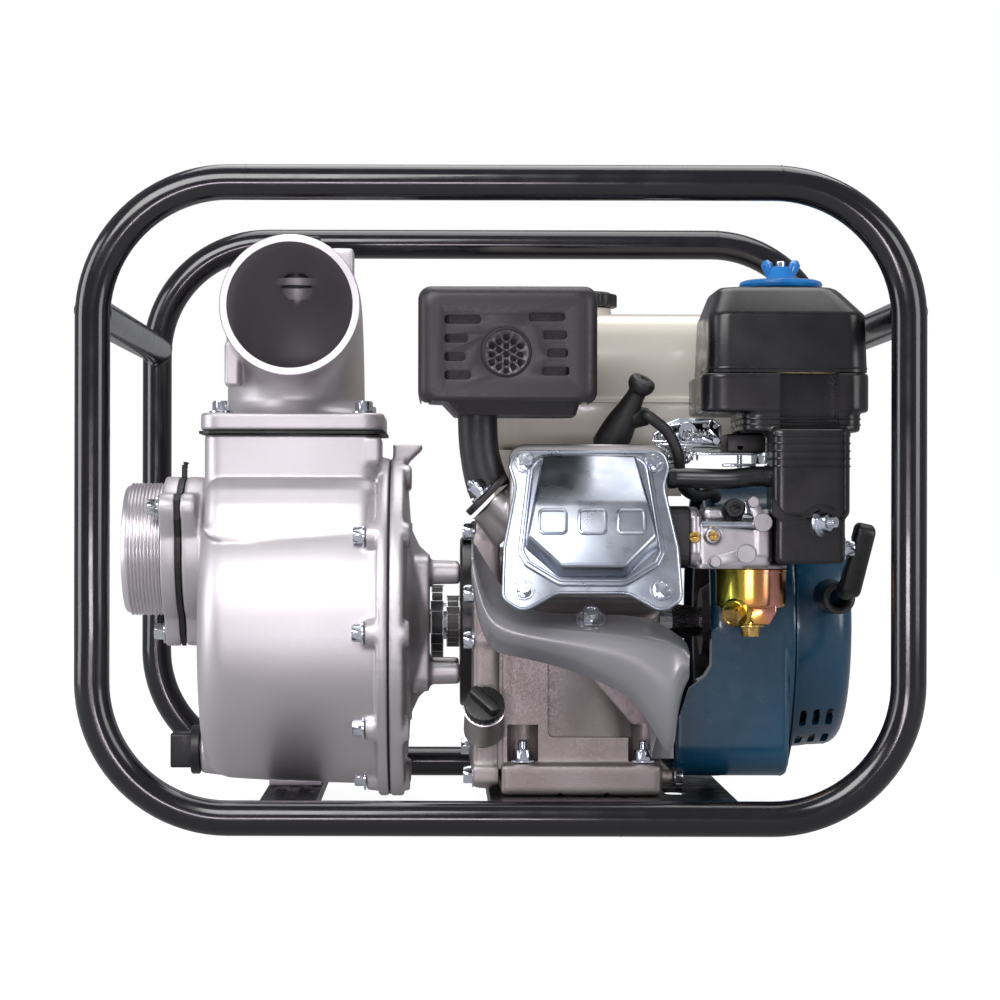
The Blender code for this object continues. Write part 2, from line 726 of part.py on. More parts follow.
def crankcase():
    left, right = CASE_X
    front, rear = CASE_Y
    low = (left, front, ENGINE_PLATE_TOP + GAP)
    body = block("crankcase", low, (right, rear, BASE_TOP), 0.005, "Z")
    walls_low = BASE_TOP - 0.004
    walls = [
        (front + 0.006, walls_low),
        (rear - 0.005, walls_low),
        (rear - 0.005, CASE_TOP),
        (-0.060, CASE_TOP),
        (front + 0.006, 0.130),
    ]
    outline = rounded(walls, [0.004, 0.010, 0.040, 0.030, 0.020])
    join(body, slab("walls", outline, "X", left + 0.001, right))
    join(body, square_block("barrel", 0.008, 0.060, HEAD_L))
    corners = [(-0.068, 0.030), (0.086, 0.030), (0.086, 0.1635), (-0.050, 0.1635), (-0.068, 0.126)]
    cut(body, slab("room", rounded(corners, 0.020, 3), "X", left - 0.01, right - 0.008))
    foot = from_cylinder(CYLINDER_X, 0, 0.03)
    cut(body, rod("bore", foot, from_cylinder(CYLINDER_X, 0, HEAD_L + 0.01), BORE_R, sides=20))
    cut(body, rod("main_bore", on_shaft(0.09), on_shaft(0.11), JOURNAL_BORE_R))
    return finish(body, CASE_COLOUR, 0.5, 0.8)


def side_cover():
    """The crankcase's pump end, with the oil filler's neck."""
    corners = [(-0.084, 0.018), (0.096, 0.018), (0.096, 0.170), (-0.050, 0.190), (-0.090, 0.185)]
    body = slab("side_cover", rounded(corners, 0.014, 3), "X", PTO_X + 0.006, CASE_X[0] - GAP)
    face = circle(CRANK.y, CRANK.z, 0.056)
    join(body, slab("pto_face", face, "X", PTO_X, PTO_X + 0.008))
    neck_end = FILLER - FILLER_OUT * (0.006 + GAP)
    join(body, rod("filler_neck", FILLER - FILLER_OUT * 0.034, neck_end, 0.0115, sides=16))
    cut(body, rod("cover_bore", on_shaft(-0.03), on_shaft(0.01), JOURNAL_BORE_R, sides=32))
    room = rounded([(-0.070, 0.030), (0.086, 0.030), (0.086, 0.158), (-0.066, 0.158)], 0.020, 3)
    boss = circle(CRANK.y, CRANK.z, 0.024, 16)
    cut(body, slab("cover_room", room, "X", PTO_X + 0.012, CASE_X[0] + 0.01, holes=[boss]))
    filler_start = FILLER - FILLER_OUT * 0.045
    cut(body, rod("filler_bore", filler_start, FILLER + FILLER_OUT * 0.01, 0.0085, sides=16))
    return finish(body, CASE_COLOUR, 0.5, 0.8)


def oil_dipstick():
    profile = [
        (-0.040, 0),
        (-0.040, 0.0035),
        (-0.026, 0.0035),
        (-0.026, 0.0080),
        (-0.006, 0.0080),
        (-0.006, 0.0125),
        (0.0, 0.0125),
        (0.0, 0),
    ]
    body = turned("oil_dipstick", profile, FILLER, FILLER_OUT, steps=16)
    bar_end = Vector((0.7, 0.3, 0.6)).cross(FILLER_OUT).normalized() * 0.011
    middle = FILLER + FILLER_OUT * 0.0025
    join(body, rod("dipstick_bar", middle - bar_end, middle + bar_end, 0.004, sides=12))
    return finish(body, BLACK, 0.5)


def cylinder_head():
    body = square_block("cylinder_head", 0.006, HEAD_L + GAP, COVER_FLANGE_L - GAP)
    slot = rectangle(0.07, 0.12, -0.06, -0.012)
    for level in range(HEAD_FINS):
        out = HEAD_L + 0.012 + FIN_PITCH * level
        cut(body, leaning_loft("fin_slot", [(out, slot), (out + FIN_PITCH / 2, slot)]))
    join(body, block("exhaust_port", (-0.027, -0.124, 0.176), (0.012, -0.098, 0.200), 0.004, "Y"))
    chamber = from_cylinder(CYLINDER_X, 0, HEAD_L - 0.01)
    cut(body, rod("chamber", chamber, from_cylinder(CYLINDER_X, 0, HEAD_L + 0.010), 0.030))
    bore_start = PLUG_FOOT - PLUG_OUT * 0.012
    cut(body, rod("plug_bore", bore_start, PLUG_FOOT + PLUG_OUT * 0.02, 0.0073, sides=16))
    seat_start = PLUG_FOOT + PLUG_OUT * 0.0015
    cut(body, rod("plug_seat", seat_start, PLUG_FOOT + PLUG_OUT * 0.045, 0.0115, sides=20))
    cut(body, rod("intake", (0.085, CARB.y, CARB.z), (0.12, CARB.y, CARB.z), 0.0105))
    return finish(body, (0.5, 0.48, 0.48), 0.45, 0.9)


crankcase()
side_cover()
oil_dipstick()
cylinder_head()

# Spark plug, its cap and the lead that runs back to the coil
LEAD_ROUTE = (
    (0.092, -0.118, 0.2500),
    (0.104, -0.1165, 0.2400),
    (0.1105, -0.1145, 0.2260),
    (0.1125, -0.108, 0.2130),
    (0.117, -0.094, 0.2050),
    (0.126, -0.074, 0.2015),
    (0.136, -0.056, 0.2030),
    (0.141, -0.0448, 0.2003),
)


def spark_plug():
    profile = [
        (-0.0115, 0),
        (-0.0115, 0.007),
        (0.002, 0.007),
        (0.002, 0.0095),
        (0.010, 0.0095),
        (0.010, 0.0045),
        (0.026, 0.0045),
        (0.026, 0),
    ]
    body = turned("spark_plug", profile, PLUG_FOOT, PLUG_OUT, steps=12)
    return finish(body, (0.8, 0.8, 0.78), 0.3)


def spark_plug_cap():
    profile = [
        (0.0103, 0),
        (0.0103, 0.0105),
        (0.030, 0.0085),
        (0.050, 0.0056),
        (0.056, 0.0056),
        (0.060, 0.0040),
        (0.060, 0),
    ]
    body = turned("spark_plug_cap", profile, PLUG_FOOT, PLUG_OUT, steps=16)
    cut(body, rod("cap_bore", PLUG_FOOT, PLUG_FOOT + PLUG_OUT * 0.0265, 0.0049, sides=16))
    return finish(body, BLACK, 0.45)


def ignition_lead():
    start = PLUG_FOOT + PLUG_OUT * 0.034 + X_AXIS * 0.013
    path = [start, *(Vector(place) for place in LEAD_ROUTE)]
    return finish(tube("ignition_lead", path, 0.0035, sides=8), BLACK, 0.45)


spark_plug()
spark_plug_cap()
ignition_lead()

# Valve cover: a flange with four ears, and a domed middle with a flat sloping crown
COVER_X_MIDDLE = 0.055
COVER_DROP = -0.0129
COVER_STEPS = ((0.002, 0.000), (0.008, 0.001), (0.014, 0.004), (0.0165, 0.009))
COVER_SHAPE = (
    (0.018, -0.041),
    (0.092, -0.041),
    (0.101, -0.024),
    (0.093, 0.043),
    (0.017, 0.043),
    (0.009, -0.024),
)


def cover_outline(inset):
    outline = []
    for x, up in COVER_SHAPE:
        inner_x = x + math.copysign(inset, COVER_X_MIDDLE - x)
        outline.append((inner_x, COVER_DROP + up - math.copysign(inset, up)))
    return outline


def valve_cover():
    low = COVER_DROP - 0.050
    high = COVER_DROP + 0.049
    flange = rounded([(0.006, low), (0.104, low), (0.101, high), (0.009, high)], 0.011)
    body = leaning_loft("valve_cover", [(COVER_FLANGE_L, flange), (COVER_FLANGE_L + 0.003, flange)])
    sections = []
    for rise, inset in COVER_STEPS:
        sections.append((COVER_FLANGE_L + rise, rounded(cover_outline(inset), 0.006, steps=2)))
    join(body, leaning_loft("dome", sections))
    inner = cover_outline(0.004)
    hollow = [(COVER_FLANGE_L - 0.005, inner), (COVER_FLANGE_L + 0.010, inner)]
    cut(body, leaning_loft("cover_hollow", hollow))
    return finish(body, (0.60, 0.63, 0.66), 0.22, 1.0)


valve_cover()

# Sheet shroud under the cylinder, running down to the fan cover at its right
SHROUD_FRONT = ((-0.160, 0.139), (-0.130, 0.122), (-0.102, 0.108), (-0.0925, 0.090), (-0.0925, 0.037))
SHROUD_SHEET = 0.002


def lower_shroud():
    back = [(y - SHROUD_SHEET, z - SHROUD_SHEET) for y, z in reversed(SHROUD_FRONT)]
    body = slab("lower_shroud", [*SHROUD_FRONT, *back], "X", -0.010, 0.1105)
    arc_start = (0.033, -0.13, 0.044)
    cut(body, rod("shroud_arc", arc_start, (0.033, -0.06, 0.044), 0.062, sides=32))
    cut(body, block("shroud_side", (-0.02, -0.13, 0.02), (0.040, -0.06, 0.1035)))
    return finish(body, (0.42, 0.43, 0.45), 0.3, 0.3)


lower_shroud()

# Exhaust: a slotted shield over the muffler, and the short pipe that carries them
MUFFLER_BLACK = (0.02, 0.02, 0.022)
SHIELD_SHEET = 0.002
MUFFLER_OUTLET = Vector((0.004, MUFFLER[0].y, 0.287))
SLOT_LENGTHS = (0.017, 0.013, 0.015, 0.023)
SLOT_PITCH = 0.011
EXHAUST_R = 0.012
EXHAUST_X = -0.013
EXHAUST_FLANGE_Z = 0.200 + GAP


def muffler_shield():
    low, high = MUFFLER
    body = block("muffler_shield", low, high, 0.010, "XYZ", 2)
    room_low = low + Vector((SHIELD_SHEET, SHIELD_SHEET, -0.02))
    room_high = high + Vector((-SHIELD_SHEET, 0.02, -SHIELD_SHEET))
    cut(body, block("shield_room", room_low, room_high, 0.008))
    for row, length in enumerate(SLOT_LENGTHS):
        slot_z = low.z + 0.018 + SLOT_PITCH * row
        for side in (-1, 1):
            near = MUFFLER_OUTLET.x + side * 0.022
            left, right = sorted((near, near + side * length))
            slot_low = (left, low.y - 0.01, slot_z)
            cut(body, block("shield_slot", slot_low, (right, low.y + 0.01, slot_z + 0.005)))
    outlet_start = MUFFLER_OUTLET - Y_AXIS * 0.01
    cut(body, rod("outlet_hole", outlet_start, MUFFLER_OUTLET + Y_AXIS * 0.01, 0.0155))
    return finish(body, (0.045, 0.042, 0.050), 0.45, 0.3)


def muffler_body():
    low, high = MUFFLER
    foot = rectangle(low.x + 0.022, high.x - 0.012, low.y + 0.016, high.y - 0.012)
    middle = rectangle(low.x + 0.007, high.x - 0.007, low.y + 0.008, high.y - 0.004)
    levels = [
        (rounded(foot, 0.010), low.z - 0.006),
        (rounded(middle, 0.012), low.z + 0.010),
        (rounded(middle, 0.012), high.z - 0.007),
    ]
    body = loft("muffler_body", [[(x, y, z) for x, y in outline] for outline, z in levels])
    outlet_start = MUFFLER_OUTLET - Y_AXIS * 0.01
    cut(body, rod("body_outlet", outlet_start, MUFFLER_OUTLET + Y_AXIS * 0.02, 0.012))
    inlet = Vector((EXHAUST_X, -0.112, low.z))
    inlet_r = EXHAUST_R + 0.0004
    cut(body, rod("body_inlet", inlet - Z_AXIS * 0.02, inlet + Z_AXIS * 0.05, inlet_r))
    return finish(body, MUFFLER_BLACK, 0.5, 0.3)


def exhaust_pipe():
    foot = Vector((EXHAUST_X, -0.111, EXHAUST_FLANGE_Z + 0.001))
    top = Vector((EXHAUST_X, -0.112, MUFFLER[0].z + 0.006))
    body = rod("exhaust_pipe", foot, top, EXHAUST_R, sides=20)
    outline = rounded(rectangle(EXHAUST_X - 0.016, EXHAUST_X + 0.016, -0.133, -0.091), 0.010)
    join(body, slab("exhaust_flange", outline, "Z", EXHAUST_FLANGE_Z, EXHAUST_FLANGE_Z + 0.005))
    return finish(body, MUFFLER_BLACK, 0.5, 0.3)


muffler_shield()
muffler_body()
exhaust_pipe()

# Fuel tank, with its cap and the bracket that carries it
CREAM = (0.72, 0.69, 0.62)
FUEL_CAP = Vector((0.060, 0.060, 0))
TANK_TOP = TANK[1].z
TANK_WALL = 0.0015


def tank_outline(inset, radius):
    low, high = TANK
    corners = rectangle(low.x + inset, high.x - inset, low.y + inset, high.y - inset)
    return rounded(corners, radius)


def stack(name, levels):
    """A loft through flat outlines at given heights."""
    return loft(name, [[(x, y, z) for x, y in outline] for outline, z in levels])


def fuel_tank():
    bottom = TANK[0].z
    wide = tank_outline(0.0, 0.022)
    narrow = tank_outline(0.012, 0.016)
    levels = [(narrow, bottom), (wide, bottom + 0.010), (wide, TANK_TOP - 0.016), (narrow, TANK_TOP)]
    body = stack("fuel_tank", levels)
    neck_start = FUEL_CAP + Z_AXIS * (TANK_TOP - 0.002)
    join(body, rod("tank_neck", neck_start, FUEL_CAP + Z_AXIS * (TANK_TOP + 0.006), 0.020))
    room = tank_outline(0.014, 0.014)
    cut(body, stack("tank_room", [(room, bottom + TANK_WALL), (room, TANK_TOP - TANK_WALL)]))
    opening_start = FUEL_CAP + Z_AXIS * (TANK_TOP - 0.01)
    cut(body, rod("tank_opening", opening_start, FUEL_CAP + Z_AXIS * (TANK_TOP + 0.02), 0.017))
    return finish(body, CREAM, 0.3)


def fuel_cap():
    seat = TANK_TOP + 0.0063
    plug_low = TANK_TOP - 0.006
    profile = [
        (plug_low, 0),
        (plug_low, 0.0165),
        (seat, 0.0165),
        (seat, 0.024),
        (seat + 0.009, 0.024),
        (seat + 0.011, 0.021),
        (seat + 0.011, 0),
    ]
    return finish(turned("fuel_cap", profile, FUEL_CAP, Z_AXIS), BLACK, 0.5)


def tank_bracket():
    """A folded skirt under the front of the tank, with two legs down to the crankcase."""
    top = TANK[0].z - GAP
    body = block("tank_bracket", (0.000, -0.006, top - 0.0025), (0.122, 0.130, top))
    join(body, block("skirt", (0.000, -0.0085, top - 0.030), (0.122, -0.0050, top)))
    cut(body, block("skirt_slot", (0.0115, -0.02, top - 0.020), (0.0165, 0.0, top - 0.006)))
    for leg_y in (0.015, 0.075):
        leg_low = (0.050, leg_y - 0.008, CASE_TOP + GAP)
        join(body, block("leg", leg_low, (0.090, leg_y + 0.008, top - 0.001), 0.003, "Z"))
    return finish(body, CREAM, 0.35)


fuel_tank()
fuel_cap()
tank_bracket()

# Air cleaner: base and elbow, cover, element and wing nut
STUD = Vector((0.177, -0.085, 0))
STUD_R = 0.003
CLEANER_FOOT = CLEANER[0].z
CLEANER_SHOULDER = 0.313
ELBOW_BOX = (Vector((0.168, -0.150, 0.160)), Vector((0.2095, -0.112, 0.252)))
CARB_X = (0.116, 0.167)
WING = ((0.0055, 0.335), (0.015, 0.338), (0.017, 0.350), (0.011, 0.350))


def air_cleaner_base():
    low, high = CLEANER
    corners = rectangle(low.x - 0.004, high.x + 0.001, low.y - 0.004, high.y + 0.004)
    body = slab("air_cleaner_base", rounded(corners, 0.016), "Z", low.z - 0.0243, low.z - GAP)
    join(body, block("elbow_box", *ELBOW_BOX, 0.005, "Z"))
    horn_x = CARB_X[1] + GAP
    horn_low = (horn_x, ELBOW_BOX[0].y + 0.006, CARB.z - 0.016)
    join(body, block("horn_box", horn_low, (0.205, CARB.y + 0.019, CARB.z + 0.017), 0.004, "X"))
    stud_start = STUD + Z_AXIS * (low.z - 0.01)
    join(body, rod("stud", stud_start, STUD + Z_AXIS * 0.348, STUD_R, sides=12))
    horn_y = CARB.y - 0.002
    cut(body, rod("horn_bore", (horn_x - 0.01, horn_y, CARB.z), (0.196, horn_y, CARB.z), 0.010))
    duct_high = (ELBOW_BOX[1].x - 0.003, -0.116, low.z + 0.01)
    cut(body, block("duct", (0.172, -0.146, CARB.z - 0.010), duct_high))
    return finish(body, (0.013, 0.012, 0.014), 0.4)


def cleaner_outlines(wall):
    """The cover's outline at its foot and at its top, inset by a wall."""
    low, high = CLEANER
    foot = rectangle(low.x + wall, high.x - wall, low.y + wall, high.y - wall)
    top = rectangle(low.x + 0.005 + wall, high.x - 0.012 - wall, low.y + 0.008 + wall, high.y - 0.010 - wall)
    return rounded(foot, 0.013), rounded(top, 0.011)


def air_cleaner_cover():
    high_z = CLEANER[1].z
    outer, shoulder = cleaner_outlines(0.0)
    levels = [(outer, CLEANER_FOOT), (outer, CLEANER_SHOULDER), (shoulder, high_z)]
    body = stack("air_cleaner_cover", levels)
    room, roof = cleaner_outlines(0.003)
    levels = [(room, CLEANER_FOOT - 0.01), (room, CLEANER_SHOULDER - 0.001), (roof, high_z - 0.003)]
    cut(body, stack("cover_room", levels))
    hole_start = STUD + Z_AXIS * 0.31
    cut(body, rod("stud_hole", hole_start, STUD + Z_AXIS * 0.34, STUD_R + 0.001, sides=16))
    return finish(body, (0.013, 0.012, 0.014), 0.35)


def filter_element():
    start = STUD + Z_AXIS * CLEANER_FOOT
    body = pipe("filter_element", start, STUD + Z_AXIS * 0.3115, 0.038, 0.024, 20)
    return finish(body, (0.75, 0.72, 0.6), 0.9)


def wing_nut():
    """A broad disc with a hub and two wings."""
    foot = CLEANER[1].z + GAP
    bore = STUD_R + 0.0004
    profile = [
        (foot, bore),
        (foot, 0.024),
        (0.3335, 0.026),
        (0.337, 0.024),
        (0.337, 0.009),
        (0.3445, 0.007),
        (0.3445, bore),
    ]
    body = turned("wing_nut", profile, STUD, Z_AXIS, steps=16, ring=True)
    for side in (-1, 1):
        outline = rounded([(STUD.x + side * reach, z) for reach, z in WING], 0.0015, 2)
        join(body, slab("wing", outline, "Y", STUD.y - 0.0012, STUD.y + 0.0012))
    return finish(body, (0.02, 0.28, 0.62), 0.3)


air_cleaner_base()
air_cleaner_cover()
filter_element()
wing_nut()

# Carburettor, standing off the head on an insulator, with its float bowl below
YELLOW_ZINC = (0.72, 0.52, 0.18)
BOWL = Vector((0.156, CARB.y, 0))
BOWL_SEAT = (0.1563, 0.1597)
LEVER_Y = CARB.y - 0.0245
CARB_FLANGE = rectangle(CARB.y - 0.024, CARB.y + 0.024, CARB.z - 0.019, CARB.z + 0.019)
CARB_MOUTH = rectangle(CARB.y - 0.020, CARB.y + 0.020, CARB.z - 0.017, CARB.z + 0.017)


def insulator():
    bore = circle(CARB.y, CARB.z, 0.0105)
    start = CASE_X[1] + GAP
    outline = rounded(CARB_FLANGE, 0.008)
    return finish(slab("insulator", outline, "X", start, CARB_X[0] - GAP, holes=[bore]), BLACK, 0.5)


def carburettor_body():
    left, right = CARB_X
    start = Vector((left, CARB.y, CARB.z))
    end = Vector((right, CARB.y, CARB.z))
    body = rod("carburettor_body", start, end, 0.0165)
    join(body, slab("carb_flange", rounded(CARB_FLANGE, 0.008), "X", left, left + 0.005))
    join(body, slab("carb_mouth", rounded(CARB_MOUTH, 0.008), "X", right - 0.005, right))
    join(body, rod("bowl_seat", BOWL + Z_AXIS * BOWL_SEAT[0], BOWL + Z_AXIS * BOWL_SEAT[1], 0.0215))
    jet_low = (BOWL.x - 0.011, BOWL.y - 0.0242, 0.158)
    join(body, block("jet_block", jet_low, (BOWL.x + 0.011, BOWL.y + 0.012, CARB.z + 0.016), 0.003, "Z"))
    cut(body, rod("throat", start - X_AXIS * 0.01, end + X_AXIS * 0.01, 0.0095))
    return finish(body, (0.55, 0.54, 0.56), 0.35, 0.9)


def float_bowl():
    profile = [
        (0.131, 0.0045),
        (0.131, 0.013),
        (0.135, 0.0195),
        (0.151, 0.0205),
        (0.1535, 0.022),
        (0.156, 0.022),
        (0.156, 0.019),
        (0.137, 0.018),
        (0.133, 0.012),
        (0.133, 0.0045),
    ]
    body = turned("float_bowl", profile, BOWL, Z_AXIS, steps=20, ring=True)
    return finish(body, YELLOW_ZINC, 0.2, 1.0)


def bowl_drain():
    profile = [(0.115, 0), (0.115, 0.0062), (0.1305, 0.0072), (0.1305, 0.004), (0.1515, 0.004), (0.1515, 0)]
    return finish(turned("bowl_drain", profile, BOWL, Z_AXIS, steps=6), YELLOW_ZINC, 0.25, 1.0)


def lever(name, pivot, towards, length, colour, thick=0.0025, metallic=0.0):
    """A flat lever in a plane square to Y, with a round boss at its pivot."""
    pivot = Vector(pivot)
    towards = Vector(towards).normalized()
    end = pivot + towards * length
    body = rod(name, pivot, pivot - Y_AXIS * (thick + 0.002), 0.006, sides=20)
    aside = towards.cross(Y_AXIS) * 0.0035
    corners = [pivot - aside, pivot + aside, end + aside * 0.8, end - aside * 0.8]
    outline = [(corner.x, corner.z) for corner in corners]
    join(body, slab(name + "_arm", outline, "Y", pivot.y - thick, pivot.y - GAP))
    join(body, rod(name + "_knob", end - Y_AXIS * thick, end - Y_AXIS * (thick + 0.007), 0.004, sides=16))
    return put_pivot(finish(body, colour, 0.35, metallic), pivot)


insulator()
carburettor_body()
float_bowl()
bowl_drain()
lever("choke_lever", (0.1600, LEVER_Y, 0.1850), (-0.5, 0, 1), 0.014, BLACK)
lever("fuel_valve_lever", (0.1500, LEVER_Y, 0.1660), (-1, 0, -0.25), 0.020, BLACK)

# Breather hose, from the head beside the valve cover to the air cleaner's elbow
HOSE_ROUTE = (
    (0.1035, -0.126, 0.212),
    (0.112, -0.126, 0.212),
    (0.140, -0.131, 0.2115),
    (0.155, -0.131, 0.213),
    (0.1677, -0.131, 0.213),
)
hose = tube("breather_hose", [Vector(place) for place in HOSE_ROUTE], 0.00625, sides=10)
finish(hose, (0.01, 0.01, 0.011), 0.4)

# Speed control: a plate by the fan cover, the lever that turns on it, and the governor's spring
ZINC = (0.62, 0.62, 0.64)
PLATE_Y = -0.0925
SPRING_TURNS = 7
SPRING_START = Vector((0.100, -0.104, 0.2265))
SPRING_LENGTH = 0.024


def control_plate():
    outline = rounded(rectangle(0.096, 0.140, 0.2335, 0.2500), 0.003)
    body = slab("control_plate", outline, "Y", PLATE_Y, PLATE_Y + 0.002)
    join(body, block("plate_foot", (0.098, PLATE_Y, 0.2315), (0.138, -0.009, 0.2336)))
    return finish(body, ZINC, 0.3, 1.0)


def governor_spring():
    """A close coil along X under the control plate."""
    per_turn = 6
    steps = SPRING_TURNS * per_turn
    path = []
    for step in range(steps + 1):
        turn = math.tau * step / per_turn
        place = SPRING_START + X_AXIS * SPRING_LENGTH * step / steps
        path.append(place + Vector((0, math.cos(turn), math.sin(turn))) * 0.003)
    return finish(tube("governor_spring", path, 0.0005, sides=4), STEEL, 0.3, 1.0)


control_plate()
lever("throttle_lever", (0.118, PLATE_Y - GAP, 0.2415), (0.9, 0, -0.3), 0.028, ZINC, 0.002, 1.0)
governor_spring()

# Blower housing, ignition coil, starter and its rope grip
FAN_BLUE = (0.004, 0.045, 0.085)
RECOIL_WALL = 0.002
NOZZLE = (Vector((0.203, CRANK.y - 0.118, 0.126)), Vector((0.2225, CRANK.y - 0.070, 0.150)))
VENTS = 7
PULLEY_R = 0.045
PULLEY_RIM_R = PULLEY_R + 0.008
GRIP_LOW = Vector((0.2215, -0.1085, 0.138))
GRIP_HIGH = Vector((0.2275, -0.1190, 0.183))
GRIP_MIDDLE = (GRIP_LOW + GRIP_HIGH) / 2


def fan_foot_outline(wall):
    front = CRANK.y - FAN_R + wall
    rear = CRANK.y + FAN_R - 0.012 - wall
    corners = rectangle(front, rear, 0.024 + wall, 0.090 - wall)
    return rounded(corners, [0.020 - wall, 0.014 - wall, 0.004, 0.004])


def fan_cover():
    inner_x, step_x, outer_x = FAN_X
    body = rod("fan_cover", on_shaft(step_x), on_shaft(outer_x), FAN_R, sides=36)
    join(body, slab("fan_foot", fan_foot_outline(0.0), "X", inner_x, outer_x - 0.006))
    inside_x = outer_x - FAN_WALL
    inside_r = FAN_R - FAN_WALL
    profile = [
        (inner_x + 0.002, 0),
        (inner_x + 0.002, FAN_R - 0.024),
        (step_x + 0.002, FAN_R - 0.008),
        (step_x + 0.004, inside_r),
        (inside_x, inside_r),
        (inside_x, 0),
    ]
    cut(body, turned("fan_room", profile, CRANK, steps=24))
    cut(body, slab("foot_room", fan_foot_outline(FAN_WALL), "X", inner_x - 0.01, outer_x - 0.009))
    cut(body, rod("fan_eye", on_shaft(outer_x - 0.01), on_shaft(outer_x + 0.01), 0.066))
    cut(body, rod("back_eye", on_shaft(inner_x - 0.01), on_shaft(step_x + 0.01), 0.060))
    return finish(body, FAN_BLUE, 0.22)


def ignition_coil():
    low = (0.1400, CRANK.y - 0.016, CRANK.z + COIL_TOP - COIL_H)
    body = block("ignition_coil", low, (0.160, CRANK.y + 0.016, CRANK.z + COIL_TOP), 0.002)
    return finish(body, BLACK, 0.4)


def recoil_housing():
    start = FAN_X[2] + GAP
    inside_x = RECOIL_X - RECOIL_WALL
    outer = [
        (start, 0),
        (start, RECOIL_R),
        (RECOIL_X - 0.012, RECOIL_R),
        (RECOIL_X - 0.003, RECOIL_R - 0.010),
        (RECOIL_X, RECOIL_R - 0.024),
        (RECOIL_X, 0),
    ]
    body = turned("recoil_housing", outer, CRANK, steps=32)
    join(body, block("nozzle", *NOZZLE, 0.004, "Y"))
    room = [
        (start - 0.01, 0),
        (start - 0.01, RECOIL_R - RECOIL_WALL),
        (RECOIL_X - 0.013, RECOIL_R - RECOIL_WALL),
        (inside_x, RECOIL_R - 0.025),
        (inside_x, 0),
    ]
    cut(body, turned("recoil_room", room, CRANK, steps=20))
    join(body, rod("post", on_shaft(0.192), on_shaft(RECOIL_X - 0.001), 0.0075, sides=16))
    bore_low = NOZZLE[0] + Vector((0.003, -0.012, 0.005))
    cut(body, block("nozzle_bore", bore_low, NOZZLE[1] + Vector((-0.0045, 0.010, -0.005))))
    for index in range(VENTS):
        turn = math.radians(200 + 20 * index)
        middle = CRANK + Vector((0.20, 0.068 * math.cos(turn), 0.068 * math.sin(turn)))
        cut(body, rod("vent", middle, middle + X_AXIS * 0.04, 0.005, sides=6))
    return finish(body, FAN_BLUE, 0.22)


def starter_pulley():
    """The rope's pulley, turning on the housing's post."""
    bore = 0.0078
    profile = [
        (0.200, bore),
        (0.200, PULLEY_RIM_R),
        (0.2025, PULLEY_RIM_R),
        (0.2055, PULLEY_R),
        (0.2085, PULLEY_R),
        (0.2115, PULLEY_RIM_R),
        (0.214, PULLEY_RIM_R),
        (0.214, bore),
    ]
    return finish(turned("starter_pulley", profile, CRANK, steps=20, ring=True), (0.03, 0.03, 0.03), 0.5)


def starter_grip():
    body = rod("starter_grip", GRIP_LOW, GRIP_HIGH, 0.0062, sides=16)
    neck_start = GRIP_MIDDLE + Vector((-0.005, 0.010, -0.014))
    join(body, rod("grip_neck", neck_start, GRIP_MIDDLE, 0.0045, sides=12))
    return put_pivot(finish(body, BLACK, 0.4), GRIP_MIDDLE)


fan_cover()
ignition_coil()
recoil_housing()
starter_pulley()
starter_grip()
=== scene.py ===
"""Looks of the engine water pump: materials, finer surfaces, fixings, studio light and camera."""

import json
import math

import bmesh
import bpy
from mathutils import Matrix, Vector, noise


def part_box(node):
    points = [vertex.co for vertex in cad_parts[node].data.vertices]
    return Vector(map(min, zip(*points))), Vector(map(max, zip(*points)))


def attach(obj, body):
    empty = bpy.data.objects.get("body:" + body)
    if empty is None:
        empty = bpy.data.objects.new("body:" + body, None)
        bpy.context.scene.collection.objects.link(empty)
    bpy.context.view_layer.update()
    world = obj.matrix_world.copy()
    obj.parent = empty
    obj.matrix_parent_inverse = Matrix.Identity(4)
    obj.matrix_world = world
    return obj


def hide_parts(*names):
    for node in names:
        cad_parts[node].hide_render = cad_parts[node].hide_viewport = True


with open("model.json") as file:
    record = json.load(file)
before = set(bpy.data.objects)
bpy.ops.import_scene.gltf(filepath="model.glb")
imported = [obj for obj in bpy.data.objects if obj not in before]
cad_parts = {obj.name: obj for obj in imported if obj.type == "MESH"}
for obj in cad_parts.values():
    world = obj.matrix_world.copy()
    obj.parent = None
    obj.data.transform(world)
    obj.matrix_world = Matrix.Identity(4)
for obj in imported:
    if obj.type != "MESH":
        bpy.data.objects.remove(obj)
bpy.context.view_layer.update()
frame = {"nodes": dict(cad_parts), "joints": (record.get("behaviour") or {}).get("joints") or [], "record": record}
nodes = frame["nodes"]

X_AXIS = Vector((1, 0, 0))
Y_AXIS = Vector((0, 1, 0))
Z_AXIS = Vector((0, 0, 1))
CRANK = Vector(next(joint["pos_m"] for joint in frame["joints"] if joint["name"] == "crank_spin"))


# Camera, light and floor
def add(name, data):
    obj = bpy.data.objects.new(name, data)
    bpy.context.scene.collection.objects.link(obj)
    return obj


def make_camera():
    data = bpy.data.cameras.new("camera")
    data.sensor_width = 36.0
    data.lens = 97.3
    data.shift_x = 0.062
    data.shift_y = 0.012
    camera = add("camera", data)
    camera.location = (-0.0368, -1.774, 0.191)
    camera.rotation_euler = (math.radians(90), math.radians(-0.12), 0)
    bpy.context.scene.camera = camera


def area_light(name, place, target, size, power, colour=(1, 1, 1)):
    data = bpy.data.lights.new(name, "AREA")
    data.shape = "RECTANGLE"
    data.size, data.size_y = size
    data.energy = power
    data.color = colour
    lamp = add(name, data)
    lamp.location = place
    lamp.rotation_euler = (Vector(target) - Vector(place)).to_track_quat("-Z", "Y").to_euler()


